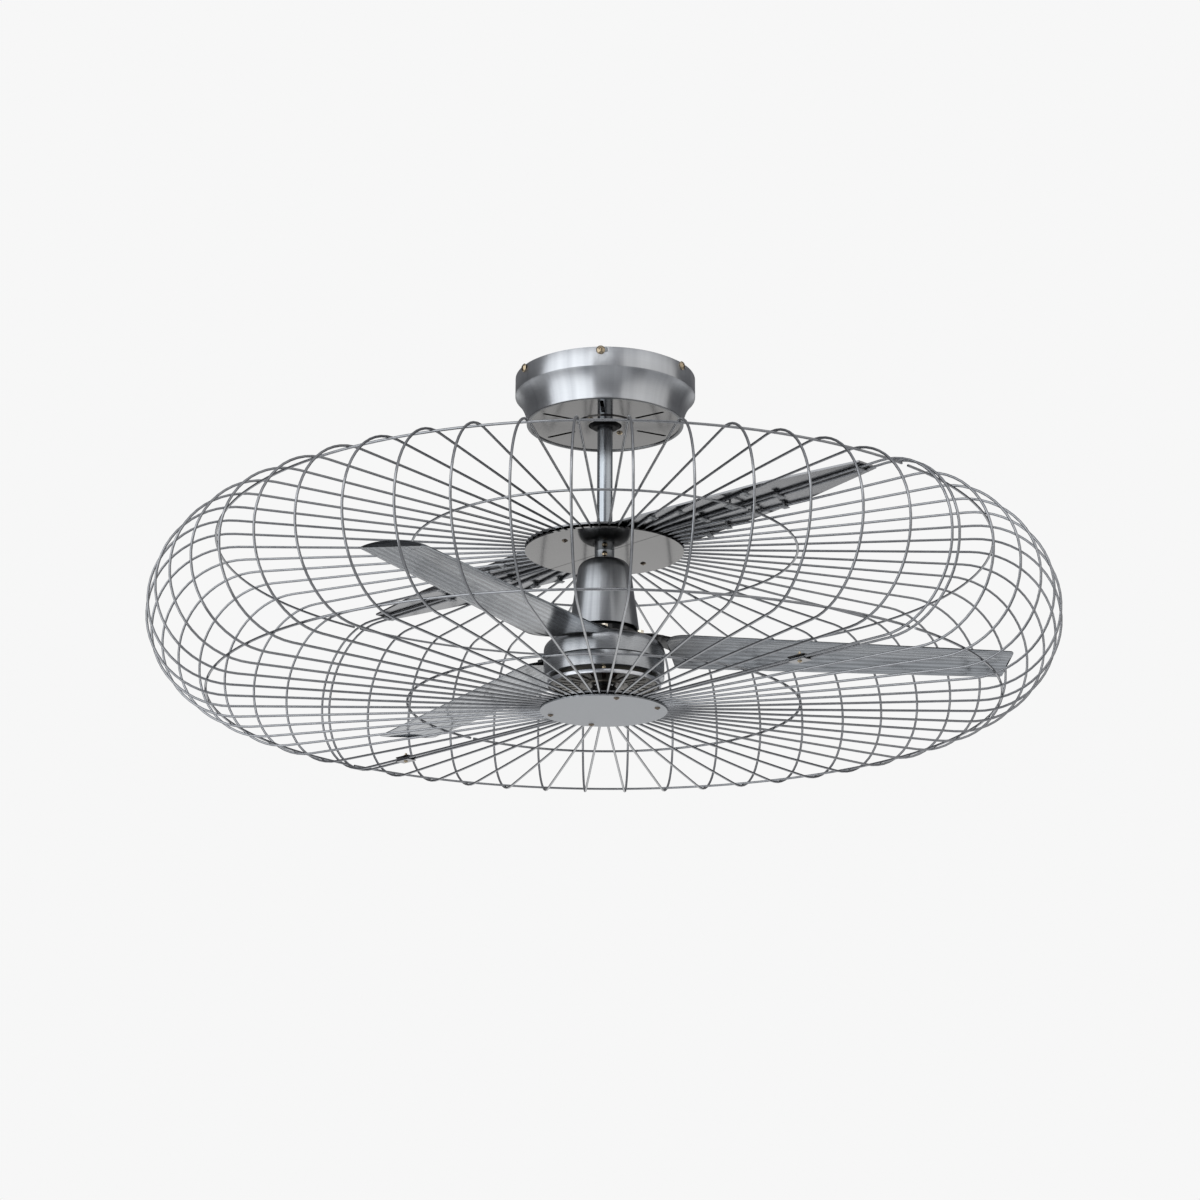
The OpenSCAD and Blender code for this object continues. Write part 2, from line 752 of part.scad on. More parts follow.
module cross_pin() {
    inset = 1.5;
    reach = ball_r - inset;
    color(steel) translate([-reach, 0, ball_z]) rotate([0, 90, 0])
        cylinder(r = pin_r, h = 2 * reach);
}

module downrod() {
    color(steel) difference() {
        tube(rod_r, rod_r - rod_wall, rod_bottom_z, rod_top_z);
        translate([-2 * ball_r, 0, ball_z]) rotate([0, 90, 0])
            cylinder(r = pin_r + hole_gap, h = 4 * ball_r);
    }
}

module neck_coupler() {
    color(steel) difference() {
        union() {
            bar(neck_r, neck_bottom_z, coupler_top_z);
            bar(flange_r, top_plate_z, spine_z);
            bar(neck_r + bell_seat_w, bell_seat_z - bell_seat_h, bell_seat_z);
        }
        bar(rod_r + hole_gap, rod_bottom_z - end_gap, coupler_top_z + over);
        bar(shaft_r + bearing_gap, neck_bottom_z - over, rod_bottom_z);
        flange_screw_places() bar(plate_screw_r + hole_gap, top_plate_z - over, spine_z + over);
        around(2, coupler_screw_deg) translate([rod_r, 0, coupler_screw_z])
            rotate([0, 90, 0]) cylinder(r = coupler_screw_r + hole_gap, h = neck_r);
    }
}

module coupler_screws() {
    head_r = 3.6;
    head_h = 2.6;
    color(brass) around(2, coupler_screw_deg)
        translate([neck_r + 2 * head_gap, 0, coupler_screw_z]) rotate([0, 90, 0])
            pan_screw(coupler_screw_r, neck_r - rod_r - hole_gap - head_gap, head_r, head_h);
}

module flange_screw_places() {
    around(4, seam_dir_deg + 45) translate([flange_r - flange_screw_in, 0, 0])
        children();
}

module flange_screws() {
    color(steel) flange_screw_places() translate([0, 0, spine_z + spine_t])
        pan_screw(plate_screw_r, spine_z + spine_t - top_plate_z + cage_plate_t - 2 * end_gap,
            plate_head_r, plate_head_h);
}

// Outline of the spine plate, with its length along X
module spine_outline(grow = 0) {
    w = [spine_end_w + grow, spine_shoulder_w + grow, spine_mid_w + grow];
    s = [spine_half_l, spine_shoulder_s, spine_waist_s];
    polygon([
        [s[0], -w[0]], [s[0], w[0]], [s[1], w[1]], [s[2], w[2]],
        [-s[2], w[2]], [-s[1], w[1]], [-s[0], w[0]], [-s[0], -w[0]],
        [-s[1], -w[1]], [-s[2], -w[2]], [s[2], -w[2]], [s[1], -w[1]]
    ]);
}

module at_seam_tabs() {
    for (end = [0, 180], r = seam_tab_radii) rotate(seam_dir_deg + end)
        translate([r, 0, 0]) children();
}

module at_side_tabs() {
    for (end = [0, 180], side = [0, 1], p = side_tab_places)
        rotate(seam_dir_deg + end) mirror([0, side, 0]) rotate(seam_deg / 2 + p[1] * wire_pitch)
            translate([p[0], -wire_r - small_screw_r - side_tab_gap, 0]) children();
}

module spine_screw_holes(z) {
    at_seam_tabs() bar(small_screw_r + hole_gap, z - cut_l / 2, z + cut_l / 2);
    at_side_tabs() bar(small_screw_r + hole_gap, z - cut_l / 2, z + cut_l / 2);
    at_saddle_screws() bar(small_screw_r + hole_gap, z - cut_l / 2, z + cut_l / 2);
}

module spine_plate() {
    color(steel) difference() {
        translate([0, 0, spine_z]) rotate(seam_dir_deg)
            linear_extrude(height = spine_t) spine_outline();
        bar(neck_r + hole_gap, spine_z - over, spine_z + spine_t + over);
        flange_screw_places() bar(plate_screw_r + hole_gap, spine_z - over, spine_z + cut_l);
        spine_screw_holes(spine_z);
    }
}

module spine_clips() {
    color(steel) difference() {
        union() {
            at_seam_tabs() translate([-tab_l / 2, -seam_tab_w / 2, clip_z - clip_t])
                cube([tab_l, seam_tab_w, clip_t]);
            at_side_tabs() translate([-tab_l / 2, -tab_l / 2, clip_z - clip_t])
                cube([tab_l, 1.5 * tab_l, clip_t]);
        }
        spine_screw_holes(clip_z);
    }
}

module spine_screws() {
    color(steel) {
        at_seam_tabs() spine_screw(clip_z);
        at_side_tabs() spine_screw(clip_z);
        at_saddle_screws() spine_screw(saddle_z);
    }
}

module spine_screw(seat_z) {
    translate([0, 0, seat_z - clip_t]) rotate([180, 0, 0])
        pan_screw(small_screw_r, spine_z + spine_t - seat_z + clip_t - seat_gap,
            small_head_r, small_head_h);
}

module at_saddle_screws() {
    at_saddles() translate([-wire_r - small_head_r - over, 0, 0]) children();
}

module at_saddles() {
    for (end = [0, 180], y = [-saddle_y, saddle_y]) rotate(seam_dir_deg + end)
        translate([small_ring_r, y, 0]) children();
}

module ring_saddles() {
    color(steel) difference() {
        at_saddles() translate([-2 * small_head_r - wire_r - over, -saddle_w / 2, saddle_z - clip_t])
            cube([2 * small_head_r + 3 * wire_r, saddle_w, clip_t]);
        spine_screw_holes(saddle_z);
    }
}

module top_plate_screw_places() {
    for (side = [-90, 90]) rotate(seam_dir_deg + side) translate([plate_screw_pcr, 0, 0])
        children();
}

module top_half_plate_solid() {
    difference() {
        bar(top_plate_r, top_plate_z - cage_plate_t, top_plate_z);
        bar(neck_r + hole_gap, top_plate_z - cut_l / 2, top_plate_z + over);
        flange_screw_places() bar(plate_screw_r + hole_gap, top_plate_z - cage_plate_t + end_gap,
            top_plate_z + over);
        top_plate_screw_places()
            bar(plate_screw_r + hole_gap, top_plate_z - cut_l / 2, top_plate_z + over);
    }
}

module front_top_plate() {
    color(aluminium) intersection() {
        top_half_plate_solid();
        front_side(2 * top_plate_r, top_plate_z - cut_l, top_plate_z + cut_l);
    }
}

module rear_top_plate() {
    color(aluminium) intersection() {
        top_half_plate_solid();
        rear_side(2 * top_plate_r, top_plate_z - cut_l, top_plate_z + cut_l);
    }
}

// The part of the upper backing disc beside the spine plate
module backing_solid() {
    difference() {
        bar(top_plate_r, spine_z, spine_z + spine_t);
        translate([0, 0, spine_z - over]) rotate(seam_dir_deg)
            linear_extrude(height = cut_l) spine_outline(over);
        top_plate_screw_places() bar(plate_screw_r + hole_gap, spine_z - over, spine_z + cut_l);
    }
}

module front_backing_plate() {
    color(steel) intersection() {
        backing_solid();
        front_side(2 * top_plate_r, spine_z - cut_l, spine_z + cut_l);
    }
}

module rear_backing_plate() {
    color(steel) intersection() {
        backing_solid();
        rear_side(2 * top_plate_r, spine_z - cut_l, spine_z + cut_l);
    }
}

module top_plate_screws() {
    color(brass) top_plate_screw_places() translate([0, 0, top_plate_z - cage_plate_t])
        rotate([180, 0, 0])
            pan_screw(plate_screw_r, spine_z + spine_t - top_plate_z + cage_plate_t - end_gap,
                plate_head_r, plate_head_h);
}

// One cage wire, bent in the XZ plane: straight, half circle, straight
module cage_wire() {
    translate([top_start_r, 0, wire_top_z]) rotate([0, 90, 0])
        cylinder(r = wire_r, h = bend_centre_r - top_start_r, $fn = 24);
    translate([bend_centre_r, 0, wire_top_z - bend_r]) rotate([90, 0, 0]) rotate(-90)
        rotate_extrude(angle = 180, $fn = 72) translate([bend_r, 0]) circle(r = wire_r, $fn = 24);
    translate([bottom_start_r, 0, wire_bottom_z]) rotate([0, 90, 0])
        cylinder(r = wire_r, h = bend_centre_r - bottom_start_r, $fn = 24);
}

// The wires of one half of the cage. The first and the last run beside the seam and don't
// point at the axis, so that the two halves stay clear of each other near the plates.
module half_cage_wires() {
    for (i = [1 : half_wires - 2]) rotate(seam_deg / 2 + i * wire_pitch) cage_wire();
    rotate(seam_wire_deg) translate([0, seam_wire_y, 0]) cage_wire();
    rotate(180 - seam_wire_deg) translate([0, -seam_wire_y, 0]) cage_wire();
}

module front_cage_wires() {
    color(aluminium) rotate(seam_dir_deg + 180) half_cage_wires();
}

module rear_cage_wires() {
    color(aluminium) rotate(seam_dir_deg) half_cage_wires();
}

// A half ring whose ends stop at the seam
module half_ring(r, z) {
    translate([0, 0, z]) rotate(seam_deg / 2)
        rotate_extrude(angle = 180 - seam_deg, $fn = 180)
            translate([r, 0]) circle(r = wire_r, $fn = 24);
}

// The four rings welded inside the wires of one half
module half_cage_rings() {
    inner_off = 2 * wire_r + seat_gap;
    mid_z = wire_top_z - bend_r;
    upper_z = mid_z + sqrt(ring_off * ring_off - upper_ring_out * upper_ring_out);
    lower_z = mid_z - sqrt(ring_off * ring_off - lower_ring_out * lower_ring_out);
    half_ring(small_ring_r, wire_top_z - inner_off);
    half_ring(bend_centre_r + upper_ring_out, upper_z);
    half_ring(bend_centre_r + lower_ring_out, lower_z);
    half_ring(small_ring_r, wire_bottom_z + inner_off);
}

module front_cage_rings() {
    color(aluminium) rotate(seam_dir_deg + 180) half_cage_rings();
}

module rear_cage_rings() {
    color(aluminium) rotate(seam_dir_deg) half_cage_rings();
}

module bottom_screw_places() {
    for (end = [0, 180], side = [-1, 1])
        rotate(seam_dir_deg + end + side * bottom_screw_deg)
            translate([bottom_screw_pcr, 0, 0]) children();
}

module hub_screw_places() {
    around(4, seam_dir_deg + 45) translate([hub_screw_pcr, 0, 0]) children();
}

module inner_plate_solid() {
    difference() {
        bar(inner_plate_r, inner_plate_z, inner_plate_z + cage_plate_t);
        hub_screw_places() bar(plate_screw_r + hole_gap, inner_plate_z - over, inner_plate_z + cut_l);
        bottom_screw_places()
            bar(plate_screw_r + hole_gap, inner_plate_z - over, inner_plate_z + cut_l);
    }
}

module front_inner_plate() {
    color(steel) intersection() {
        inner_plate_solid();
        front_side(2 * inner_plate_r, inner_plate_z - cut_l, inner_plate_z + cut_l);
    }
}

module rear_inner_plate() {
    color(steel) intersection() {
        inner_plate_solid();
        rear_side(2 * inner_plate_r, inner_plate_z - cut_l, inner_plate_z + cut_l);
    }
}

module bottom_plate() {
    color(aluminium) difference() {
        bar(bottom_plate_r, bottom_plate_z - cage_plate_t, bottom_plate_z);
        bottom_screw_places()
            bar(plate_screw_r + hole_gap, bottom_plate_z - cut_l / 2, bottom_plate_z + over);
    }
}

module bottom_plate_screws() {
    color(brass) bottom_screw_places() translate([0, 0, bottom_plate_z - cage_plate_t])
        rotate([180, 0, 0])
            pan_screw(plate_screw_r, inner_plate_z - bottom_plate_z + 2 * cage_plate_t + 2 * over,
                plate_head_r, plate_head_h);
}

module at_seam_clips() {
    rotate(seam_dir_deg) translate([near_clip_r, 0, 0]) children();
    rotate(seam_dir_deg + 180) translate([far_clip_r, 0, 0]) children();
}

module seam_clip_tops() {
    color(black) at_seam_clips() difference() {
        translate([-clip_l / 2, -clip_w / 2, seam_nut_z - clip_top_t])
            cube([clip_l, clip_w, clip_top_t]);
        bar(small_screw_r + hole_gap, wire_bottom_z, seam_nut_z + over);
    }
}

module seam_clip_bottoms() {
    color(steel) at_seam_clips() difference() {
        translate([-clip_l / 2, -clip_w / 2, seam_clip_z]) cube([clip_l, clip_w, clip_t]);
        bar(small_screw_r + hole_gap, seam_clip_z - over, wire_bottom_z);
    }
}

module seam_clip_screws() {
    nut_r = 3.2;
    nut_h = 2.4;
    screw_out = 5;
    color(brass) at_seam_clips() {
        translate([0, 0, seam_clip_z]) rotate([180, 0, 0])
            pan_screw(small_screw_r, seam_nut_z - seam_clip_z + screw_out, small_head_r,
                small_head_h);
        translate([0, 0, seam_nut_z]) difference() {
            cylinder(r = nut_r, h = nut_h, $fn = 6);
            translate([0, 0, -over]) cylinder(r = small_screw_r + hole_gap, h = nut_h + 2 * over);
        }
    }
}

// The bell cover's outline, drawn in by an inset
module bell_profile(inset, low) {
    shoulder_z = bell_z - dome_r;
    polygon([
        [0, bell_bottom_z - low], [bell_bottom_r - inset, bell_bottom_z - low],
        [bell_bottom_r - inset, bell_bottom_z], [bell_top_r - inset, shoulder_z], [0, shoulder_z]
    ]);
    translate([0, shoulder_z - over]) square([bell_top_r - dome_r, dome_r - inset + over]);
    intersection() {
        translate([bell_top_r - dome_r, shoulder_z]) circle(r = dome_r - inset);
        translate([0, shoulder_z - over]) square([bell_top_r, 2 * dome_r]);
    }
}

module bell_cover() {
    color(aluminium) rotate_extrude() difference() {
        bell_profile(0, 0);
        bell_profile(bell_wall, over);
        translate([0, bell_z - dome_r]) square([neck_r + 2 * seat_gap, 2 * dome_r]);
    }
}

module run_capacitor() {
    size = [30, 16, 34];
    drop = 14;
    color(black) translate([-size[0] / 2, shaft_r + seat_gap, neck_bottom_z - drop - size[2]])
        cube(size);
}

module motor_shaft() {
    color(steel) tube(shaft_r, shaft_bore_r, shaft_bottom_z, rod_bottom_z - end_gap - seat_gap);
}

module stator_core() {
    color(steel) difference() {
        bar(stator_r, stator_z, stator_z + stator_h);
        bar(shaft_r + bearing_gap, stator_z - over, stator_z + stator_h + over);
        around(stator_teeth, slot_half_deg) stator_slot();
    }
}

// The space between two stator teeth, and its narrow opening at the rim
module stator_slot() {
    mouth = 2;
    translate([0, 0, stator_z - over]) {
        linear_extrude(height = stator_h + 2 * over) slot_outline(0);
        translate([stator_r - 1.5 * tooth_head, -mouth / 2, 0])
            cube([2 * tooth_head, mouth, stator_h + 2 * over]);
    }
}

// A slot between two teeth that narrows towards the yoke, drawn in by an inset
module slot_outline(inset) {
    yoke_r = 24;
    inner_half = 1.5;
    outer_half = 9.5;
    polygon([
        [yoke_r, inset - inner_half], [stator_r - tooth_head, inset - outer_half],
        [stator_r - tooth_head, outer_half - inset], [yoke_r, inner_half - inset]
    ]);
}

module stator_windings() {
    wrap = 6;
    coil = [16, 11.6, stator_h + 2 * wrap];
    coil_r0 = 27;
    color(copper) around(stator_teeth) difference() {
        translate([coil_r0, -coil[1] / 2, stator_z - wrap]) cube(coil);
        tooth_space();
    }
}

// Room for one tooth inside its winding
module tooth_space() {
    inset = 0.5;
    half_w = 12;
    difference() {
        translate([stator_r / 2 - inset, -half_w, stator_z - seat_gap])
            cube([stator_r / 2, 2 * half_w, stator_h + 2 * seat_gap]);
        for (s = [-1, 1]) rotate(s * slot_half_deg) translate([0, 0, stator_z - over])
            linear_extrude(height = stator_h + 2 * over) slot_outline(inset);
    }
}

module at_bearings() {
    translate([0, 0, upper_bearing_z]) children();
    translate([0, 0, lower_bearing_z]) children();
}

module bearing_inner_rings() {
    color(steel) at_bearings() rotate_extrude() difference() {
        translate([shaft_r + bearing_gap, 0]) square([bearing_ring_t, bearing_w]);
        translate([ball_track_r, bearing_w / 2]) circle(r = bearing_ball_r + bearing_gap);
    }
}

module bearing_outer_rings() {
    color(steel) at_bearings() rotate_extrude() difference() {
        translate([bearing_r - bearing_ring_t, 0]) square([bearing_ring_t, bearing_w]);
        translate([ball_track_r, bearing_w / 2]) circle(r = bearing_ball_r + bearing_gap);
    }
}

module bearing_balls() {
    color(steel) at_bearings() around(bearing_ball_count)
        translate([ball_track_r, 0, bearing_w / 2]) sphere(r = bearing_ball_r);
}

module lower_hub() {
    chamfer = 1.5;
    ring_h = 2;
    ring_rise = 9.5;
    ring_z = hub_foot_z + ring_rise;
    waist_r = hub_r + chamfer;
    foot_top_z = hub_foot_z + hub_foot_t;
    bore_r = shaft_r + bearing_gap;
    color(black) difference() {
        rotate_extrude() polygon([
            [bore_r, hub_top_z], [hub_r - chamfer, hub_top_z], [hub_r, hub_top_z - chamfer],
            [hub_r, ring_z + 4 * chamfer], [waist_r + chamfer, ring_z + 2 * chamfer],
            [hub_ring_r - 1, ring_z + chamfer], [hub_ring_r, ring_z], [hub_ring_r, ring_z - ring_h],
            [waist_r, ring_z - 2 * ring_h], [waist_r, foot_top_z], [hub_foot_r, foot_top_z],
            [hub_foot_r, hub_foot_z], [bore_r, hub_foot_z]
        ]);
        hub_screw_places() bar(plate_screw_r + hole_gap, hub_foot_z - over, foot_top_z + over);
    }
}

module hub_screws() {
    color(brass) hub_screw_places() translate([0, 0, hub_foot_z + hub_foot_t])
        pan_screw(plate_screw_r, hub_foot_t + cage_plate_t, plate_head_r, plate_head_h);
}

module flywheel() {
    neck_top_z = bell_bottom_z + neck_lap;
    color(black) difference() {
        union() {
            bar(flywheel_r, case_z, flywheel_top_z);
            bar(fly_neck_r, flywheel_top_z - over, neck_top_z);
        }
        bar(fly_neck_r - flywheel_t, case_z - over, neck_top_z + over);
        iron_bolt_places() bar(iron_bolt_r + hole_gap, case_z - over, flywheel_top_z + over);
    }
}

// The upper case's outer outline, from the axis outwards
module upper_case_profile(inset) {
    low = inset > 0 ? over : 0;
    translate([0, upper_case_z - low]) square([case_r - inset, upper_case_h - shoulder_r + low]);
    translate([0, case_z - shoulder_r - over])
        square([case_r - shoulder_r, shoulder_r - inset + over]);
    intersection() {
        translate([case_r - shoulder_r, case_z - shoulder_r]) circle(r = shoulder_r - inset);
        translate([0, case_z - shoulder_r - over]) square([case_r, 2 * shoulder_r]);
    }
}

module upper_case() {
    color(aluminium) difference() {
        union() {
            rotate_extrude() difference() {
                upper_case_profile(0);
                upper_case_profile(case_wall);
            }
            bar(boss_r, upper_bearing_z, case_z);
        }
        bar(bearing_r + bearing_gap, upper_bearing_z - over, case_z - bearing_lid);
        bar(shaft_r + shaft_room, upper_bearing_z - over, case_z + over);
        iron_bolt_places() bar(iron_bolt_r + hole_gap, case_z - cut_l, case_z + over);
    }
}

module lower_case() {
    inner_r = case_r - case_wall;
    lip_in = 10;
    lip_t = 3;
    color(aluminium) union() {
        tube(case_r, inner_r, case_bottom_z, lower_case_z);
        tube(inner_r + over, inner_r - lip_in, case_bottom_z, case_bottom_z + lip_t);
    }
}

module lower_end_bell() {
    rim_t = 4;
    boss_rise = 3;
    slot_r0 = boss_r + 5;
    slot_r1 = end_bell_r - 9;
    color(steel) difference() {
        union() {
            tube(end_bell_r, end_bell_r - rim_t, end_bell_z, case_bottom_z);
            tube(end_bell_r - over, boss_r - over, recess_z - web_t, recess_z);
            bar(boss_r, end_bell_z, case_bottom_z + boss_rise);
        }
        bar(bearing_r + bearing_gap, lower_bearing_z, case_bottom_z + boss_rise + over);
        bar(shaft_r + end_bell_room, end_bell_z - over, lower_bearing_z + over);
        around(vent_ribs) translate([slot_r0, -vent_slot_w / 2, recess_z - cut_l / 2])
            cube([slot_r1 - slot_r0, vent_slot_w, cut_l]);
        around(case_screw_count, case_screw_deg)
            translate([end_bell_r - 2 * rim_t, 0, case_bottom_z - recess_h / 2])
                rotate([0, 90, 0]) cylinder(r = small_screw_r + hole_gap, h = 4 * rim_t);
    }
}

module trim_ring() {
    color(aluminium) tube(trim_r, trim_r - trim_wall, recess_z - trim_h, recess_z);
}

module case_screws() {
    head_r = 2.3;
    head_h = 1.5;
    length = 4;
    color(brass) around(case_screw_count, case_screw_deg)
        translate([end_bell_r + head_gap, 0, case_bottom_z - recess_h / 2]) rotate([0, 90, 0])
            pan_screw(small_screw_r, length, head_r, head_h);
}

module rotor_ring() {
    air_gap = 0.6;
    color(steel) tube(case_r - case_wall - bearing_gap, stator_r + air_gap,
        case_bottom_z + rotor_ring_rise, case_bottom_z + rotor_ring_rise + rotor_ring_h);
}

module iron_bolt_places() {
    around(blade_count, blade_dir_deg) for (s = [-1, 1])
        rotate(s * iron_bolt_deg) translate([iron_pcr, 0, 0]) children();
}

module iron_bolts() {
    top_z = flywheel_top_z + iron_t;
    reach = 4;
    color(brass) iron_bolt_places() union() {
        bar(iron_bolt_r, case_z - reach, top_z + over);
        translate([0, 0, top_z]) cylinder(r = bolt_head_r, h = bolt_head_h, $fn = 6);
    }
}

// The frame of an iron's pad: X out along the blade, Y across it, Z square to the pad
module at_pad() {
    translate([0, 0, case_z - root_drop + blade_start_r * tip_droop / blade_l])
        rotate([pad_pitch, blade_slope, 0]) children();
}

module at_blade_screws() {
    for (x = [pad_screw_r0, pad_screw_r0 + pad_screw_l], y = [-pad_screw_y, pad_screw_y])
        at_pad() translate([x, y, 0]) children();
}

module blade_irons() {
    color(black) around(blade_count, blade_dir_deg) blade_iron();
}

// One blade iron: a foot bolted to the flywheel, a cranked arm and a pad with four fingers
module blade_iron() {
    joint_l = 3;
    difference() {
        union() {
            translate([0, 0, flywheel_top_z]) linear_extrude(height = iron_t) iron_foot();
            hull() {
                translate([iron_foot_r - joint_l, -iron_arm_w, flywheel_top_z])
                    cube([joint_l, 2 * iron_arm_w, iron_t]);
                at_pad() translate([pad_r0 - 1, -iron_arm_w, pad_lift])
                    cube([joint_l, 2 * iron_arm_w, iron_t]);
            }
            at_pad() translate([0, 0, pad_lift]) linear_extrude(height = iron_t) iron_pad();
        }
        for (s = [-1, 1]) rotate(s * iron_bolt_deg) translate([iron_pcr, 0, 0])
            bar(iron_bolt_r + hole_gap, flywheel_top_z - over, flywheel_top_z + cut_l);
        at_blade_screws() cylinder(r = blade_screw_r + hole_gap, h = cut_l);
    }
}

// The iron's foot on the flywheel: it goes round the neck and narrows to the arm
module iron_foot() {
    neck_room = 2.5;
    foot_r0 = 30;
    end_w = iron_arm_w + 1;
    difference() {
        polygon([
            [foot_r0, -iron_foot_w], [flywheel_r - neck_room, -iron_foot_w],
            [iron_foot_r, -end_w], [iron_foot_r, end_w],
            [flywheel_r - neck_room, iron_foot_w], [foot_r0, iron_foot_w]
        ]);
        circle(r = fly_neck_r + neck_room);
    }
}

// The iron's pad on the blade: a plate and four fingers with round ends
module iron_pad() {
    edge_in = 1;
    translate([pad_r0, edge_in - iron_arm_w]) square([pad_l, 2 * (iron_arm_w - edge_in)]);
    for (x = [pad_screw_r0, pad_screw_r0 + pad_screw_l]) {
        translate([x - finger_r, -pad_screw_y]) square([2 * finger_r, 2 * pad_screw_y]);
        for (y = [-pad_screw_y, pad_screw_y]) translate([x, y]) circle(r = finger_r);
    }
}

module blade_screws() {
    head_r = 4.2;
    head_h = 2;
    color(steel) around(blade_count, blade_dir_deg) at_blade_screws()
        translate([0, 0, pad_lift + iron_t])
            pan_screw(blade_screw_r, iron_t + pad_lift - blade_screw_end, head_r, head_h);
}

// Distances of the blade's sections from its inner end, finer where the corners are round
blade_stations = concat(
    [for (i = [0 : end_steps - 1]) trail_corner_r * (1 - cos(90 * i / end_steps))],
    [for (i = [0 : end_steps - 1]) trail_corner_r
        + (lead_corner_r - trail_corner_r) * i / end_steps],
    [for (i = [0 : mid_steps]) lead_corner_r
        + (blade_l - lead_corner_r - tip_corner_r) * i / mid_steps],
    [for (i = [1 : end_steps]) blade_l - tip_corner_r * (1 - sin(90 * i / end_steps))]
);

// How far a round corner draws an edge in at a distance from the blade's end
function corner_inset(d, r) = d >= r ? 0 : r - sqrt(max(0, r * r - (r - d) * (r - d)));

// Half the chord at a distance from the root, on the leading or the trailing side
function half_chord(d, q) = (root_chord + d / blade_l * (tip_chord - root_chord)) / 2
    - corner_inset(d, q < 0 ? lead_corner_r : trail_corner_r) * corner_share
    - corner_inset(blade_l - d, tip_corner_r) * corner_share;

// Half thickness across the blade: q runs from -1 to 1
function half_thick(q) = blade_t / 2 * sqrt(max(edge_share, 1 - pow(abs(q), 3)));

// A point of the blade's skin: side is 1 on the upper face and -1 on the lower one
function blade_point(d, q, side) = let (
    f = d / blade_l,
    h = half_chord(d, q),
    y = q * h,
    z = camber * (1 - q * q) + side * half_thick(q) - camber / 2,
    a = root_pitch + f * (tip_pitch - root_pitch),
    slant = (1 - f) * root_slant,
    x = blade_start_r + d + slant * (q + 1) / 2
) [x, y * cos(a) - z * sin(a), case_z - root_drop - f * tip_droop + y * sin(a) + z * cos(a)];

module blade_solid() {
    n = len(blade_stations);
    k = section_steps;
    m = 2 * k + 2;
    points = [for (d = blade_stations) each concat(
        [for (j = [0 : k]) blade_point(d, -cos(180 * j / k), -1)],
        [for (j = [k : -1 : 0]) blade_point(d, -cos(180 * j / k), 1)]
    )];
    sides = [for (i = [0 : n - 2], j = [0 : m - 1]) let (j2 = (j + 1) % m) each [
        [i * m + j, (i + 1) * m + j, i * m + j2],
        [i * m + j2, (i + 1) * m + j, (i + 1) * m + j2]
    ]];
    start_cap = [for (j = [0 : k - 1]) each [[j, j + 1, m - 1 - j], [j + 1, m - 2 - j, m - 1 - j]]];
    e = (n - 1) * m;
    end_cap = [for (j = [0 : k - 1]) each [
        [e + j, e + m - 1 - j, e + j + 1], [e + j + 1, e + m - 1 - j, e + m - 2 - j]
    ]];
    polyhedron(points, concat(sides, start_cap, end_cap), convexity = 6);
}

module blades() {
    color(aluminium) around(blade_count, blade_dir_deg) difference() {
        blade_solid();
        at_blade_screws() translate([0, 0, blade_screw_end - seat_gap])
            cylinder(r = blade_screw_r + hole_gap, h = cut_l);
    }
}

mounting_plate();
hanger_bracket();
bracket_screws();
cable_grommet();
terminal_block();
receiver_box();
canopy();
canopy_floor();
ball_collar();
collar_screws();
canopy_screws();
seat_liner();
hanger_ball();
cross_pin();
downrod();
neck_coupler();
coupler_screws();
spine_plate();
spine_clips();
spine_screws();
ring_saddles();
front_top_plate();
rear_top_plate();
front_backing_plate();
rear_backing_plate();
top_plate_screws();
flange_screws();
front_cage_wires();
rear_cage_wires();
front_cage_rings();
rear_cage_rings();
front_inner_plate();
rear_inner_plate();
bottom_plate();
bottom_plate_screws();
seam_clip_tops();
seam_clip_bottoms();
seam_clip_screws();
bell_cover();
run_capacitor();
motor_shaft();
stator_core();
stator_windings();
bearing_inner_rings();
lower_hub();
hub_screws();
flywheel();
upper_case();
lower_case();
lower_end_bell();
trim_ring();
case_screws();
rotor_ring();
bearing_outer_rings();
bearing_balls();
blade_irons();
iron_bolts();
blade_screws();
blades();
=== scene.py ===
import math

import bpy
from mathutils import Matrix, Vector


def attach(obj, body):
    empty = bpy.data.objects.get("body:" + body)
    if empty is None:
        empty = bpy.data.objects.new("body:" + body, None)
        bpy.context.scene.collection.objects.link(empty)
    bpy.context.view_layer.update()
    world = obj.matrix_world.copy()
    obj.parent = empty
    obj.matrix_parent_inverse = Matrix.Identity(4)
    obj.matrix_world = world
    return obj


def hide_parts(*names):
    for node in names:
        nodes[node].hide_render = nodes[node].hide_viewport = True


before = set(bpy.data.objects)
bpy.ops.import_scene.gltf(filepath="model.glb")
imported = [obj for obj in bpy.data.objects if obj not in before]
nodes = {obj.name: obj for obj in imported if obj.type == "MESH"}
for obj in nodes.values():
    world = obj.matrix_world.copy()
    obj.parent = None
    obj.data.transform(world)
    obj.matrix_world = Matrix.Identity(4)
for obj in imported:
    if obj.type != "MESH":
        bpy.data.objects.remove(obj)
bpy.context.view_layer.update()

# Studio. The fan hangs against plain white paper and is seen from below, with a pale floor
# far under it. Three broad soft boxes give the metal its light and dark bands.
MM = 0.001


def srgb(text):
    """A colour written as an sRGB hex value, as linear RGBA."""
    parts = [int(text[i:i + 2], 16) / 255 for i in (1, 3, 5)]
    return [c / 12.92 if c <= 0.04045 else ((c + 0.055) / 1.055) ** 2.4 for c in parts] + [1]


def add_node(tree, kind, values=None, links=None):
    """Adds a shader node, sets its properties or inputs, and joins the inputs that are given."""
    node = tree.nodes.new(kind)
    for key, value in (values or {}).items():
        if isinstance(key, str) and hasattr(node, key):
            setattr(node, key, value)
        else:
            node.inputs[key].default_value = value
    for key, source in (links or {}).items():
        tree.links.new(source, node.inputs[key])
    return node


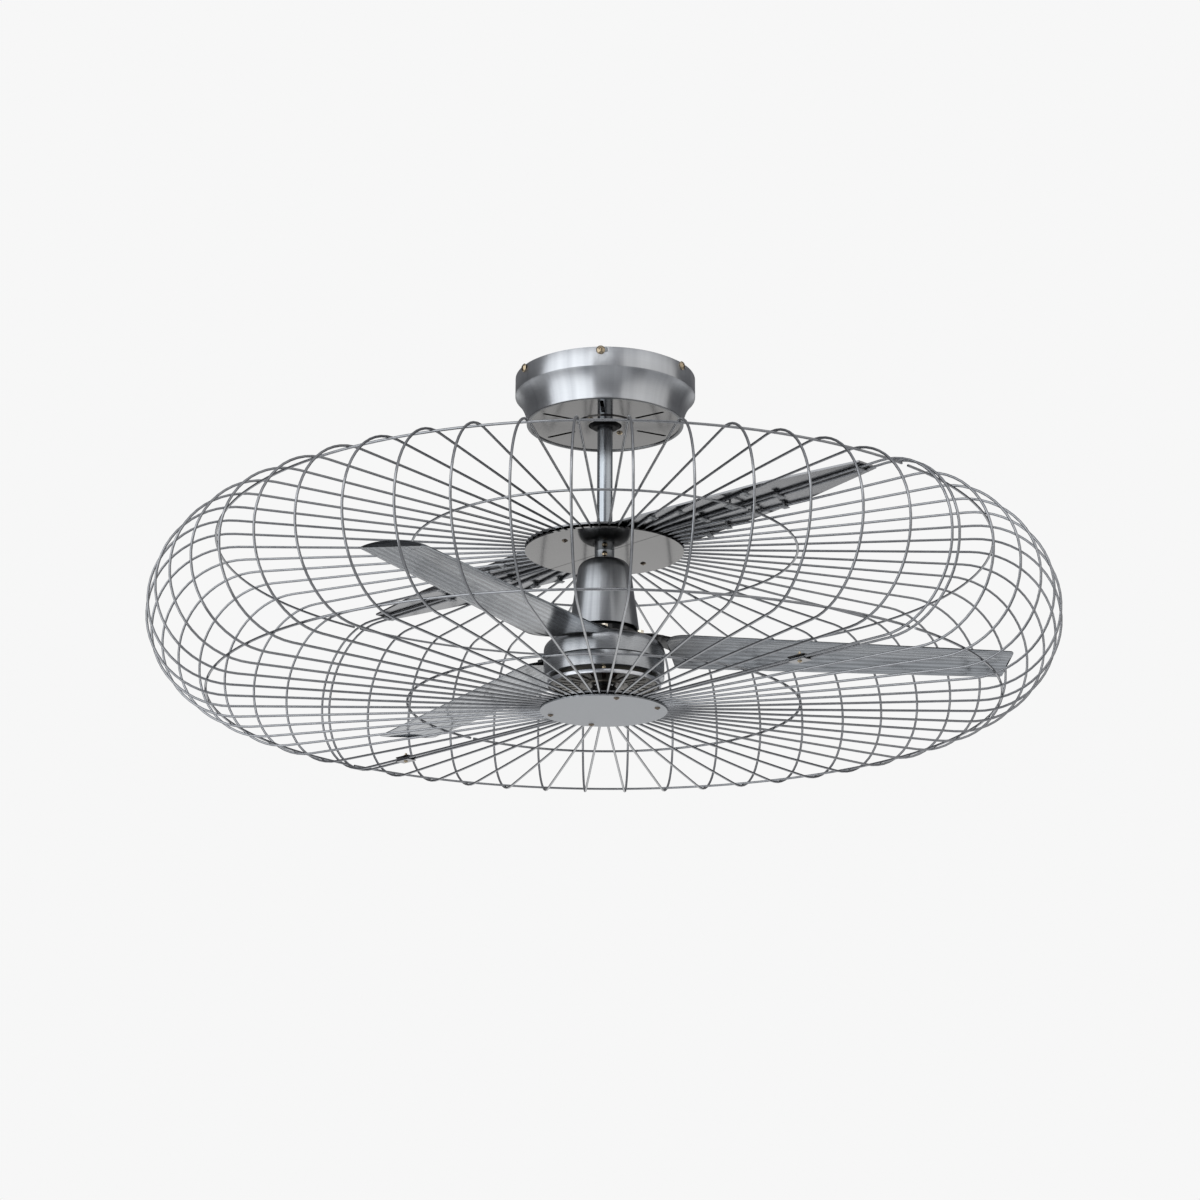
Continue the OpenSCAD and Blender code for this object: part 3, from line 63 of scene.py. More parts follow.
def new_material(name):
    """An empty material: its tree and its Principled shader."""
    material = bpy.data.materials.new(name)
    material.use_nodes = True
    tree = material.node_tree
    shader = next(n for n in tree.nodes if n.type == "BSDF_PRINCIPLED")
    return material, tree, shader


def set_camera():
    """The photo's camera: it looks up from the front, very slightly rolled."""
    pitch, roll = math.radians(16.55), math.radians(0.28)
    distance, aim_z = 3.510, -0.30745
    photo_width, off_centre = 1200, -4.25
    data = bpy.data.cameras.new("photo_camera")
    data.sensor_width, data.lens = 36, 81
    data.shift_x = off_centre / photo_width
    camera = bpy.data.objects.new("photo_camera", data)
    bpy.context.scene.collection.objects.link(camera)
    place = Vector((0, -distance * math.cos(pitch), aim_z - distance * math.sin(pitch)))
    camera.matrix_world = (Matrix.Translation(place) @ Matrix.Rotation(math.pi / 2 + pitch, 4, "X")
                           @ Matrix.Rotation(roll, 4, "Z"))
    bpy.context.scene.camera = camera


def soft_box(name, place, size, power, tint=(1, 1, 1)):
    """A rectangle of soft light that faces the fan and isn't seen by the camera."""
    data = bpy.data.lights.new(name, "AREA")
    data.shape, data.size, data.size_y, data.energy = "RECTANGLE", size[0], size[1], power
    data.color = tint
    lamp = bpy.data.objects.new(name, data)
    bpy.context.scene.collection.objects.link(lamp)
    direction = Vector((0, 0, -0.3)) - Vector(place)
    lamp.matrix_world = (Matrix.Translation(place)
                         @ direction.to_track_quat("-Z", "Y").to_matrix().to_4x4())
    lamp.visible_camera = False


def set_world():
    """White paper for the camera, and on it the dim room that the metal mirrors."""
    world = bpy.data.worlds.new("studio")
    world.use_nodes = True
    bpy.context.scene.world = world
    tree = world.node_tree
    tree.nodes.clear()
    paper = add_node(tree, "ShaderNodeBackground", {"Color": srgb("#f7f7f7"), "Strength": 1.0})
    coords = add_node(tree, "ShaderNodeTexCoord")
    split = add_node(tree, "ShaderNodeSeparateXYZ", None, {0: coords.outputs["Generated"]})
    height = add_node(tree, "ShaderNodeMapRange", {1: -1.0, 2: 1.0}, {0: split.outputs[2]})
    shade = add_node(tree, "ShaderNodeValToRGB", None, {0: height.outputs[0]})
    ramp = shade.color_ramp
    ramp.elements[0].color = (0.34, 0.34, 0.34, 1)
    ramp.elements[1].color = (0.88, 0.89, 0.92, 1)
    room_greys = ((0.35, 0.24), (0.5, 0.22), (0.62, 0.22), (0.72, 0.42), (0.85, 0.5))
    cool = 1.04
    for place, grey in room_greys:
        ramp.elements.new(place).color = (grey, grey, grey * cool, 1)
    back = add_node(tree, "ShaderNodeMapRange", {1: -0.35, 2: 0.15, 3: 1.0, 4: 0.5},
                    {0: split.outputs[1]})
    room = add_node(tree, "ShaderNodeBackground", None,
                    {"Color": shade.outputs[0], "Strength": back.outputs[0]})
    backdrop = add_node(tree, "ShaderNodeMapRange",
                        {"interpolation_type": "SMOOTHSTEP", 1: 0.7, 2: 0.9},
                        {0: split.outputs[1]})
    # The metal mirrors the paper only where the paper stands low behind the fan.
    low = add_node(tree, "ShaderNodeMapRange", {1: 0.1, 2: -0.1}, {0: split.outputs[2]})
    sheet = add_node(tree, "ShaderNodeMath", {"operation": "MULTIPLY"},
                     {0: low.outputs[0], 1: backdrop.outputs[0]})
    path = add_node(tree, "ShaderNodeLightPath")
    glossy = add_node(tree, "ShaderNodeMath", {"operation": "MULTIPLY"},
                      {0: path.outputs["Is Glossy Ray"], 1: sheet.outputs[0]})
    through = add_node(tree, "ShaderNodeMath", {"operation": "MAXIMUM"},
                       {0: glossy.outputs[0], 1: path.outputs["Is Transmission Ray"]})
    share = add_node(tree, "ShaderNodeMath", {"operation": "MAXIMUM"},
                     {0: through.outputs[0], 1: path.outputs["Is Camera Ray"]})
    mix = add_node(tree, "ShaderNodeMixShader", None,
                   {0: share.outputs[0], 1: room.outputs[0], 2: paper.outputs[0]})
    add_node(tree, "ShaderNodeOutputWorld", None, {0: mix.outputs[0]})


set_camera()
set_world()
soft_box("soft_box_left", place=(-2.1, -1.85, -0.1), size=(3.6, 4.2), power=71,
         tint=(0.97, 0.985, 1))
soft_box("soft_box_right", place=(2.4, -1.44, 0.3), size=(4.4, 3.4), power=26,
         tint=(1, 0.975, 0.94))
soft_box("soft_box_high", place=(-0.2, -2.6, 1.3), size=(1.3, 0.8), power=4.5)
bpy.context.scene.view_settings.view_transform = "Standard"

# Floor. Matt pale paper that shows as nearly white, and that metal mirrors as a soft glow
# which grows towards the back.
floor_size, floor_height = 14, -3.0
floor_seen_glow, near_glow, far_glow = 0.56, 0.05, 0.45
bpy.ops.object.select_all(action="DESELECT")
bpy.ops.mesh.primitive_plane_add(size=floor_size, location=(0, 0, floor_height))
floor = bpy.context.object
floor.name = "studio_floor"
floor_material, floor_tree, floor_shader = new_material("floor_paper")
floor_grain = add_node(floor_tree, "ShaderNodeTexNoise", {"Scale": 40.0})
floor_colour = add_node(floor_tree, "ShaderNodeMix", {"data_type": "RGBA", 6: srgb("#e2e2e2"),
                        7: srgb("#e8e8e8")}, {0: floor_grain.outputs[0]})
floor_tree.links.new(floor_colour.outputs[2], floor_shader.inputs["Base Color"])
floor_shader.inputs["Roughness"].default_value = 0.9
floor_path = add_node(floor_tree, "ShaderNodeLightPath")
floor_seen = add_node(floor_tree, "ShaderNodeMath",
                      {"operation": "MULTIPLY", 1: floor_seen_glow},
                      {0: floor_path.outputs["Is Camera Ray"]})
floor_coords = add_node(floor_tree, "ShaderNodeTexCoord")
floor_split = add_node(floor_tree, "ShaderNodeSeparateXYZ", None,
                       {0: floor_coords.outputs["Object"]})
floor_far = add_node(floor_tree, "ShaderNodeMapRange",
                     {1: 0.5, 2: 3.0, 3: near_glow, 4: far_glow},
                     {0: floor_split.outputs[1]})
floor_glow = add_node(floor_tree, "ShaderNodeMath", {"operation": "MULTIPLY_ADD"},
                      {0: floor_path.outputs["Is Glossy Ray"], 1: floor_far.outputs[0],
                       2: floor_seen.outputs[0]})
floor_shader.inputs["Emission Color"].default_value = (1, 1, 1, 1)
floor_tree.links.new(floor_glow.outputs[0], floor_shader.inputs["Emission Strength"])
floor.data.materials.append(floor_material)

# Canopy. A spun aluminium cup with a straight band, a hollow cove and a rolled-in lip. It is
# brushed on the lathe, so the light lies on it in upright streaks. Six bayonet notches in the
# rim take the screws.


def object_radius(tree):
    """Place, distance from the fan's axis, height and flat place, for what a lathe leaves."""
    coords = add_node(tree, "ShaderNodeTexCoord")
    split = add_node(tree, "ShaderNodeSeparateXYZ", None, {0: coords.outputs["Object"]})
    flat = add_node(tree, "ShaderNodeCombineXYZ", None, {0: split.outputs[0], 1: split.outputs[1]})
    length = add_node(tree, "ShaderNodeVectorMath", {"operation": "LENGTH"}, {0: flat.outputs[0]})
    return coords, length.outputs["Value"], split.outputs[2], flat.outputs[0]


def turned_metal(name, light, dark, roughness, line_mm, depth, spread=0.6):
    """Metal brushed on a lathe: lines round the axis, upright chatter, and faint clouds of wear
    about 70 mm across."""
    material, tree, shader = new_material(name)
    coords, radius, height, flat = object_radius(tree)
    lathe = add_node(tree, "ShaderNodeCombineXYZ", None, {0: radius, 1: height})
    lines = add_node(tree, "ShaderNodeTexNoise", {"Scale": 1 / (line_mm * MM), "Detail": 3.0},
                     {0: lathe.outputs[0]})
    round_place = add_node(tree, "ShaderNodeVectorMath", {"operation": "NORMALIZE"}, {0: flat})
    chatter = add_node(tree, "ShaderNodeTexNoise", {"Scale": 7.0, "Detail": 4.0},
                       {0: round_place.outputs[0]})
    clouds = add_node(tree, "ShaderNodeTexNoise", {"Scale": 14.0, "Detail": 3.0},
                      {0: coords.outputs["Object"]})
    blend = add_node(tree, "ShaderNodeMath", {"operation": "MULTIPLY_ADD", 1: 0.3},
                     {0: lines.outputs[0], 2: chatter.outputs[0]})
    tone = add_node(tree, "ShaderNodeMath", {"operation": "MULTIPLY_ADD", 1: 0.3},
                    {0: clouds.outputs[0], 2: blend.outputs[0]})
    level = add_node(tree, "ShaderNodeMapRange", {1: 0.55, 2: 1.05}, {0: tone.outputs[0]})
    colour = add_node(tree, "ShaderNodeMix", {"data_type": "RGBA", 6: srgb(dark), 7: srgb(light)},
                      {0: level.outputs[0]})
    tree.links.new(colour.outputs[2], shader.inputs["Base Color"])
    rough = add_node(tree, "ShaderNodeMapRange", {3: roughness - 0.05, 4: roughness + 0.07},
                     {0: lines.outputs[0]})
    tree.links.new(rough.outputs[0], shader.inputs["Roughness"])
    bump = add_node(tree, "ShaderNodeBump", {"Strength": 0.25, "Distance": depth * MM},
                    {"Height": lines.outputs[0]})
    tree.links.new(bump.outputs[0], shader.inputs["Normal"])
    tangent = add_node(tree, "ShaderNodeTangent", {"direction_type": "RADIAL", "axis": "Z"})
    tree.links.new(tangent.outputs[0], shader.inputs["Tangent"])
    shader.inputs["Metallic"].default_value = 1.0
    shader.inputs["Anisotropic"].default_value = spread
    shader.inputs["Anisotropic Rotation"].default_value = 0.25
    return material


def painted_shade(material, by_height, start, stop, share_start, share_stop):
    """Paints shade into a metal's colour: darkens it with its distance from the fan's axis, or
    with its height, in mm.
    """
    tree = material.node_tree
    shader = tree.nodes["Principled BSDF"]
    _, radius, height, _ = object_radius(tree)
    share = add_node(tree, "ShaderNodeMapRange",
                     {1: start * MM, 2: stop * MM, 3: share_start, 4: share_stop},
                     {0: height if by_height else radius})
    dark = add_node(tree, "ShaderNodeVectorMath", {"operation": "SCALE"},
                    {0: shader.inputs["Base Color"].links[0].from_socket,
                     "Scale": share.outputs[0]})
    tree.links.new(dark.outputs[0], shader.inputs["Base Color"])
    return material


def arc(centre_r, centre_z, radius, start, stop, steps):
    """Points of an arc in an outline, in mm and degrees."""
    angles = [math.radians(start + (stop - start) * i / steps) for i in range(steps + 1)]
    return [(centre_r + radius * math.cos(a), centre_z + radius * math.sin(a)) for a in angles]


def finish_piece(piece, material, body, replaced, edge=0.0, smooth=32):
    """Softens a piece's edges, shades it, gives it its material and body, and hides the nodes it
    replaces.
    """
    bpy.ops.object.select_all(action="DESELECT")
    bpy.context.view_layer.objects.active = piece
    piece.select_set(True)
    if edge:
        bevel = piece.modifiers.new("edge", "BEVEL")
        bevel.width, bevel.segments = edge * MM, 2
        bevel.limit_method, bevel.angle_limit = "ANGLE", math.radians(smooth)
        bpy.ops.object.modifier_apply(modifier="edge")
    bpy.ops.object.shade_smooth_by_angle(angle=math.radians(smooth))
    piece.data.materials.clear()
    piece.data.materials.append(material)
    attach(piece, body)
    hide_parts(*replaced)


def turned(name, outline, steps=128):
    """Turns a closed outline of (radius, height) points in mm round the fan's axis."""
    bpy.ops.object.select_all(action="DESELECT")
    bpy.ops.mesh.primitive_circle_add(vertices=len(outline), radius=0.1)
    piece = bpy.context.object
    piece.name = name
    for vertex, (radius, height) in zip(piece.data.vertices, outline):
        vertex.co = (radius * MM, 0, height * MM)
    bpy.ops.object.mode_set(mode="EDIT")
    bpy.ops.mesh.select_all(action="SELECT")
    bpy.ops.mesh.spin(steps=steps, angle=math.tau, center=(0, 0, 0), axis=(0, 0, 1))
    bpy.ops.mesh.select_all(action="SELECT")
    bpy.ops.mesh.remove_doubles(threshold=2e-6)
    bpy.ops.mesh.normals_make_consistent(inside=False)
    bpy.ops.object.mode_set(mode="OBJECT")
    return piece


def cut(piece, cutter):
    """Cuts one mesh out of another and removes the cutter."""
    bpy.ops.object.select_all(action="DESELECT")
    bpy.context.view_layer.objects.active = piece
    boolean = piece.modifiers.new("cut", "BOOLEAN")
    boolean.operation, boolean.solver, boolean.object = "DIFFERENCE", "EXACT", cutter
    bpy.ops.object.modifier_apply(modifier="cut")
    bpy.data.objects.remove(cutter)


# Spun aluminium shows soft upright streaks, and its lip carries painted shade where it meets the
# floor disc.
spun_aluminium = painted_shade(
    turned_metal("spun_aluminium", "#ced1d4", "#b2b5b9", roughness=0.30, line_mm=0.8, depth=0.02,
                 spread=0.75),
    by_height=True, start=-66.6, stop=-65.6, share_start=0.15, share_stop=1.0)
canopy_outline = (
    [(99.5, -66.5)] + arc(160.815, -66.5, 56.815, 180, 136.65, 14) + [(119.5, -2.5), (118, -2.5)]
    + arc(160.815, -66.5, 58.315, 138.03, 178.82, 12) + [(99.5, -65.3)]
)
canopy_shell = turned("canopy_shell", canopy_outline, 160)
notch_count, first_notch = 6, -33
# A notch is an upright slot in the rim with a foot to one side: two blocks, place and size.
notch_cuts = (((119.5, 3, -6.3), (20, 11.8, 5.8)), ((119.5, 6, -2.3), (20, 5.8, 13.8)))
notches = []
for number in range(notch_count):
    turn = math.radians(360 / notch_count * number + first_notch)
    for place, size in notch_cuts:
        bpy.ops.object.select_all(action="DESELECT")
        bpy.ops.mesh.primitive_cube_add(size=1)
        block = bpy.context.object
        block.data.transform(Matrix.Rotation(turn, 4, "Z")
                             @ Matrix.Translation(Vector(place) * MM)
                             @ Matrix.Diagonal((*(Vector(size) * MM), 1)))
        notches.append(block)
for block in notches:
    cut(canopy_shell, block)
finish_piece(canopy_shell, spun_aluminium, "ceiling_mount", ["canopy"], 0.35)

# Canopy floor and ball collar. Discs stamped from polished sheet that mirror the room below,
# with six narrow cooling slots. The floor rests on the canopy's lip.


def sheet_metal(name, light, dark, roughness, grain_mm, stretch=(1, 40, 40), waves=0.0):
    """Rolled sheet: a fine straight grain, a polish with clouds about 110 mm across and, if asked
    for, a slight waviness of about 40 mm."""
    material, tree, shader = new_material(name)
    coords = add_node(tree, "ShaderNodeTexCoord")
    scaled = add_node(tree, "ShaderNodeMapping", {"Scale": stretch},
                      {"Vector": coords.outputs["Object"]})
    grain = add_node(tree, "ShaderNodeTexNoise",
                     {"Scale": 1 / (grain_mm * MM * stretch[1]), "Detail": 3.0},
                     {0: scaled.outputs[0]})
    clouds = add_node(tree, "ShaderNodeTexNoise", {"Scale": 9.0, "Detail": 4.0},
                      {0: coords.outputs["Object"]})
    tone = add_node(tree, "ShaderNodeMath", {"operation": "MULTIPLY_ADD", 1: 0.5},
                    {0: grain.outputs[0], 2: clouds.outputs[0]})
    level = add_node(tree, "ShaderNodeMapRange", {1: 0.4, 2: 1.1}, {0: tone.outputs[0]})
    colour = add_node(tree, "ShaderNodeMix", {"data_type": "RGBA", 6: srgb(dark), 7: srgb(light)},
                      {0: level.outputs[0]})
    tree.links.new(colour.outputs[2], shader.inputs["Base Color"])
    rough = add_node(tree, "ShaderNodeMapRange", {3: roughness, 4: roughness + 0.06},
                     {0: clouds.outputs[0]})
    tree.links.new(rough.outputs[0], shader.inputs["Roughness"])
    bump = add_node(tree, "ShaderNodeBump", {"Strength": 0.1, "Distance": 0.01 * MM},
                    {"Height": grain.outputs[0]})
    if waves:
        swell = add_node(tree, "ShaderNodeTexNoise", {"Scale": 25.0, "Detail": 1.0},
                         {0: coords.outputs["Object"]})
        bump = add_node(tree, "ShaderNodeBump", {"Strength": 0.5, "Distance": waves * MM},
                        {"Height": swell.outputs[0], "Normal": bump.outputs[0]})
    tree.links.new(bump.outputs[0], shader.inputs["Normal"])
    shader.inputs["Metallic"].default_value = 1.0
    return material


def dress(names, material):
    """Gives CAD nodes a material."""
    for name in names:
        nodes[name].data.materials.clear()
        nodes[name].data.materials.append(material)


# Polished steel sheet is nearly a mirror, so it takes the grey of the paper behind the fan.
polished_sheet = sheet_metal("polished_steel_sheet", "#747372", "#6a6968", roughness=0.06,
                             grain_mm=0.4)
dress(["canopy_floor", "ball_collar", "front_top_plate", "rear_top_plate"], polished_sheet)

# Ceiling plate, bracket and what is fixed to them inside the canopy. Pressed steel with a
# dull zinc coat, a black moulded receiver, a white nylon terminal block and seat liner, and a
# rubber grommet in the cable hole.


def coated(name, light, dark, roughness, grain_mm, metallic=0.0, coat=0.0, depth=0.03,
           specular=0.5):
    """Paint, plastic, rubber, plating or metal that isn't brushed: a fine mottle in colour, gloss
    and relief, and wear in patches of about 45 mm."""
    material, tree, shader = new_material(name)
    coords = add_node(tree, "ShaderNodeTexCoord")
    mottle = add_node(tree, "ShaderNodeTexNoise", {"Scale": 1 / (grain_mm * MM), "Detail": 4.0},
                      {0: coords.outputs["Object"]})
    wear = add_node(tree, "ShaderNodeTexNoise", {"Scale": 22.0, "Detail": 5.0},
                    {0: coords.outputs["Object"]})
    tone = add_node(tree, "ShaderNodeMath", {"operation": "MULTIPLY_ADD", 1: 0.4},
                    {0: mottle.outputs[0], 2: wear.outputs[0]})
    level = add_node(tree, "ShaderNodeMapRange", {1: 0.4, 2: 1.0}, {0: tone.outputs[0]})
    colour = add_node(tree, "ShaderNodeMix", {"data_type": "RGBA", 6: srgb(dark), 7: srgb(light)},
                      {0: level.outputs[0]})
    tree.links.new(colour.outputs[2], shader.inputs["Base Color"])
    rough = add_node(tree, "ShaderNodeMapRange", {3: roughness - 0.04, 4: roughness + 0.08},
                     {0: wear.outputs[0]})
    tree.links.new(rough.outputs[0], shader.inputs["Roughness"])
    bump = add_node(tree, "ShaderNodeBump", {"Strength": 0.2, "Distance": depth * MM},
                    {"Height": mottle.outputs[0]})
    tree.links.new(bump.outputs[0], shader.inputs["Normal"])
    shader.inputs["Metallic"].default_value = metallic
    shader.inputs["Coat Weight"].default_value = coat
    shader.inputs["Coat Roughness"].default_value = 0.06
    shader.inputs["Specular IOR Level"].default_value = specular
    return material


# Zinc plate is dull and mottled, the mouldings have a fine satin skin, and rubber is matt.
zinc = coated("zinc_plated_steel", "#a7abae", "#8d9296", 0.4, 3.0, metallic=1.0)
black_plastic = coated("black_moulded_plastic", "#1b1b1d", "#131314", 0.45, 0.6)
white_plastic = coated("white_nylon", "#deded8", "#d0d0c8", 0.4, 0.8)
rubber = coated("black_rubber", "#161616", "#0e0e0e", 0.75, 0.5)
dress(["mounting_plate", "hanger_bracket"], zinc)
dress(["receiver_box", "run_capacitor"], black_plastic)
dress(["terminal_block", "seat_liner"], white_plastic)
dress(["cable_grommet"], rubber)

# Screws. Brass-plated pan heads where they show, and a darker copy of the brass as painted
# shade for the heads in the shade of the discs, nickel plated hexagon bolts on the irons, and
# bright zinc screws elsewhere. The plating is mottled from handling.
pale_brass = coated("pale_brass_plating", "#cfc0a6", "#8f8069", 0.16, 1.2, metallic=1.0)
# The darker brass is painted shade for the screws under the discs.
shaded_brass = coated("brass_plating_painted_shade", "#92877a", "#5f564c", 0.2, 1.2, metallic=1.0)
bright_nickel = coated("bright_nickel_plating", "#efe8da", "#d6cebd", 0.18, 1.2, metallic=1.0)
screw_steel = coated("bright_zinc_screws", "#b4b7b9", "#8c9094", 0.3, 1.2, metallic=1.0)
dress(["canopy_screws", "collar_screws", "coupler_screws", "seam_clip_screws", "hub_screws",
       "case_screws"], pale_brass)
dress(["top_plate_screws", "bottom_plate_screws"], shaded_brass)
dress(["iron_bolts"], bright_nickel)
dress(["bracket_screws", "flange_screws", "blade_screws", "cross_pin"], screw_steel)

# Hanger ball, downrod and coupler. A matt black ball with its top and bottom turned flat, on
# a brushed steel tube, and at the tube's foot a turned steel coupler with a flange for the
# cage. A pin runs across ball and tube.
black_matt = coated("black_matt_finish", "#080808", "#040404", 0.5, 2.0, specular=0.08)
ball_outline = (
    [(10.35, -70.5)] + arc(0, -52, 25, math.degrees(math.asin(-18.5 / 25)),
                           math.degrees(math.asin(21 / 25)), 30) + [(10.35, -31)]
)
hanger_ball = turned("hanger_ball_enamelled", ball_outline, 96)
finish_piece(hanger_ball, black_matt, "hanger", ["hanger_ball"], 0.4)

# The brushed tube shows one sharp bright line along its side.
rod_steel = turned_metal("brushed_tube_steel", "#b9bfc5", "#a2a8ae", roughness=0.24, line_mm=0.5,
                         depth=0.01, spread=0.4)
downrod = turned("downrod_tube", [(10.2, -252.5), (10.2, -31), (8.2, -31), (8.2, -252.5)], 64)
finish_piece(downrod, rod_steel, "hanger", ["downrod"], 0.3)

coupler_outline = [
    (10.35, -225.2), (12.4, -225.2), (13, -225.8), (13, -236.7), (40, -236.7), (40, -240.3),
    (13, -240.3), (13, -256), (19, -256), (19, -259), (13, -259), (13, -275.9),
    (12.4, -276.5), (8.55, -276.5), (8.55, -252.8), (10.35, -252.8),
]
coupler = turned("neck_coupler_turned", coupler_outline, 96)
# The coupler is satin from the lathe, and a little duller than the tube.
coupler_steel = turned_metal("turned_coupler_steel", "#c2c6ca", "#a6aaae", roughness=0.36,
                             line_mm=0.9, depth=0.02, spread=0.6)
finish_piece(coupler, coupler_steel, "hanger", ["neck_coupler"], 0.2)
dress(["motor_shaft"], rod_steel)

# Cage. Drawn steel wires, each bent from the upper face round the rim to the lower face, and
# four half rings inside each half, all spot welded. The two halves meet at the seam, with a
# wire along each side of it. Sizes are in mm and turns in degrees.
wire_radius, wire_top_z, wire_low_z, wire_bend_r = 1.6, -238.5, -453.0, 478.4
wire_top_end_r, wire_low_end_r = 78, 66
# Each half starts and ends a small angle short of the seam.
wire_gaps, seam_dir, half_start, half_sweep = 27, -46.6, 0.65, 178.7
seam_wire_offset, seam_wire_turn = 2, 0.44
ring_places = ((252, -241.9), (503, -244.86), (507, -445.59), (252, -449.6))


def drawn_wire(name, light, dark, roughness):
    """Drawn and tumbled wire: bright, with a faint mottle of handling marks about 6 mm long."""
    material, tree, shader = new_material(name)
    coords = add_node(tree, "ShaderNodeTexCoord")
    marks = add_node(tree, "ShaderNodeTexNoise", {"Scale": 160.0, "Detail": 3.0},
                     {0: coords.outputs["Object"]})
    colour = add_node(tree, "ShaderNodeMix", {"data_type": "RGBA", 6: srgb(dark), 7: srgb(light)},
                      {0: marks.outputs[0]})
    tree.links.new(colour.outputs[2], shader.inputs["Base Color"])
    rough = add_node(tree, "ShaderNodeMapRange", {3: roughness - 0.06, 4: roughness + 0.1},
                     {0: marks.outputs[0]})
    tree.links.new(rough.outputs[0], shader.inputs["Roughness"])
    shader.inputs["Metallic"].default_value = 1.0
    return material


def joined(pieces, name):
    """Joins loose pieces into one object with its own mesh."""
    bpy.ops.object.select_all(action="DESELECT")
    for piece in pieces:
        piece.select_set(True)
    bpy.context.view_layer.objects.active = pieces[0]
    bpy.ops.object.join()
    pieces[0].name = name
    return pieces[0]


def wire_end(radius, height, across):
    """A ring of the wire's section, open, standing across the X axis in mm."""
    bpy.ops.object.select_all(action="DESELECT")
    bpy.ops.mesh.primitive_circle_add(vertices=12, radius=wire_radius * MM)
    piece = bpy.context.object
    piece.data.transform(Matrix.Translation(Vector((radius, across, height)) * MM)
                         @ Matrix.Rotation(math.pi / 2, 4, "Y"))
    return piece


def close_wire():
    """Closes both ends of the wire in edit mode and points its faces outwards."""
    bpy.ops.mesh.select_all(action="SELECT")
    bpy.ops.mesh.remove_doubles(threshold=2e-6)
    bpy.ops.mesh.select_all(action="DESELECT")
    bpy.ops.mesh.select_non_manifold()
    bpy.ops.mesh.edge_face_add()
    bpy.ops.mesh.select_all(action="SELECT")
    bpy.ops.mesh.normals_make_consistent(inside=False)
    bpy.ops.object.mode_set(mode="OBJECT")


def cage_wire(across, turn):
    """One wire: straight over the top, half round the rim, and straight back underneath."""
    piece = wire_end(wire_top_end_r, wire_top_z, across)
    bpy.ops.object.mode_set(mode="EDIT")
    bpy.ops.mesh.select_all(action="SELECT")
    bpy.ops.mesh.extrude_edges_move(
        TRANSFORM_OT_translate={"value": ((wire_bend_r - wire_top_end_r) * MM, 0, 0)})
    bpy.ops.mesh.spin(steps=28, angle=math.pi, axis=(0, -1, 0),
                      center=(wire_bend_r * MM, across * MM,
                              (wire_top_z + wire_low_z) / 2 * MM))
    bpy.ops.mesh.extrude_edges_move(
        TRANSFORM_OT_translate={"value": ((wire_low_end_r - wire_bend_r) * MM, 0, 0)})
    close_wire()
    piece.data.transform(Matrix.Rotation(math.radians(turn), 4, "Z"))
    return piece


def half_ring(radius, height):
    """Half a ring from seam to seam."""
    piece = wire_end(0, 0, 0)
    piece.data.transform(Matrix.Rotation(math.radians(half_start), 4, "Z")
                         @ Matrix.Translation(Vector((radius, 0, height)) * MM)
                         @ Matrix.Rotation(math.pi / 2, 4, "Z"))
    bpy.ops.object.mode_set(mode="EDIT")
    bpy.ops.mesh.select_all(action="SELECT")
    bpy.ops.mesh.spin(steps=90, angle=math.radians(half_sweep), center=(0, 0, 0),
                      axis=(0, 0, 1))
    close_wire()
    return piece


def copy_turned(pieces, turn):
    """Copies of pieces with meshes of their own, turned about the fan's axis."""
    made = []
    for piece in pieces:
        twin = piece.copy()
        twin.data = piece.data.copy()
        twin.data.transform(Matrix.Rotation(math.radians(turn), 4, "Z"))
        bpy.context.scene.collection.objects.link(twin)
        made.append(twin)
    return made


cage_steel = drawn_wire("drawn_cage_wire", "#a8aaad", "#838588", 0.2)
plain_wire = cage_wire(0, 0)
rear_wires = [cage_wire(seam_wire_offset, seam_wire_turn),
              cage_wire(-seam_wire_offset, 180 - seam_wire_turn)]
for number in range(1, wire_gaps):
    rear_wires += copy_turned([plain_wire], half_start + half_sweep / wire_gaps * number)
bpy.data.objects.remove(plain_wire)
rear_wires = joined(rear_wires, "rear_cage_half")
rear_wires.data.transform(Matrix.Rotation(math.radians(seam_dir), 4, "Z"))
front_wires = copy_turned([rear_wires], 180)[0]
front_wires.name = "front_cage_half"
rear_rings = joined([half_ring(radius, height) for radius, height in ring_places],
                    "rear_cage_hoops")
rear_rings.data.transform(Matrix.Rotation(math.radians(seam_dir), 4, "Z"))
front_rings = copy_turned([rear_rings], 180)[0]
front_rings.name = "front_cage_hoops"
for piece, node in ((rear_wires, "rear_cage_wires"), (front_wires, "front_cage_wires"),
                    (rear_rings, "rear_cage_rings"), (front_rings, "front_cage_rings")):
    finish_piece(piece, cage_steel, "hanger", [node])

# Spine plate, clips and cage plates. Flat steel sheet cut to outline and screwed through the
# cage. The rolled sheet mirrors the wires a little, the disc under the cage is an even satin,
# the clips are dull, and the black seam clips are enamelled.
spine_sheet = sheet_metal("rolled_steel_sheet", "#8f9092", "#7d7e80", roughness=0.16,
                          grain_mm=0.6, stretch=(1, 1, 1), waves=0.02)
satin_sheet = sheet_metal("satin_steel_disc", "#a6a9ac", "#9fa2a5", 0.38, 0.5)
clip_steel = sheet_metal("dull_steel_clips", "#b4b6b8", "#9c9ea0", 0.5, 0.6)
black_enamel = coated("black_gloss_enamel", "#0d0d0e", "#070708", 0.2, 6.0, coat=0.4, depth=0.01)
dress(["spine_plate", "front_backing_plate", "rear_backing_plate", "front_inner_plate",
       "rear_inner_plate", "seam_clip_bottoms"], spine_sheet)
dress(["spine_clips", "ring_saddles", "spine_screws"], clip_steel)
dress(["bottom_plate"], satin_sheet)
dress(["seam_clip_tops"], black_enamel)

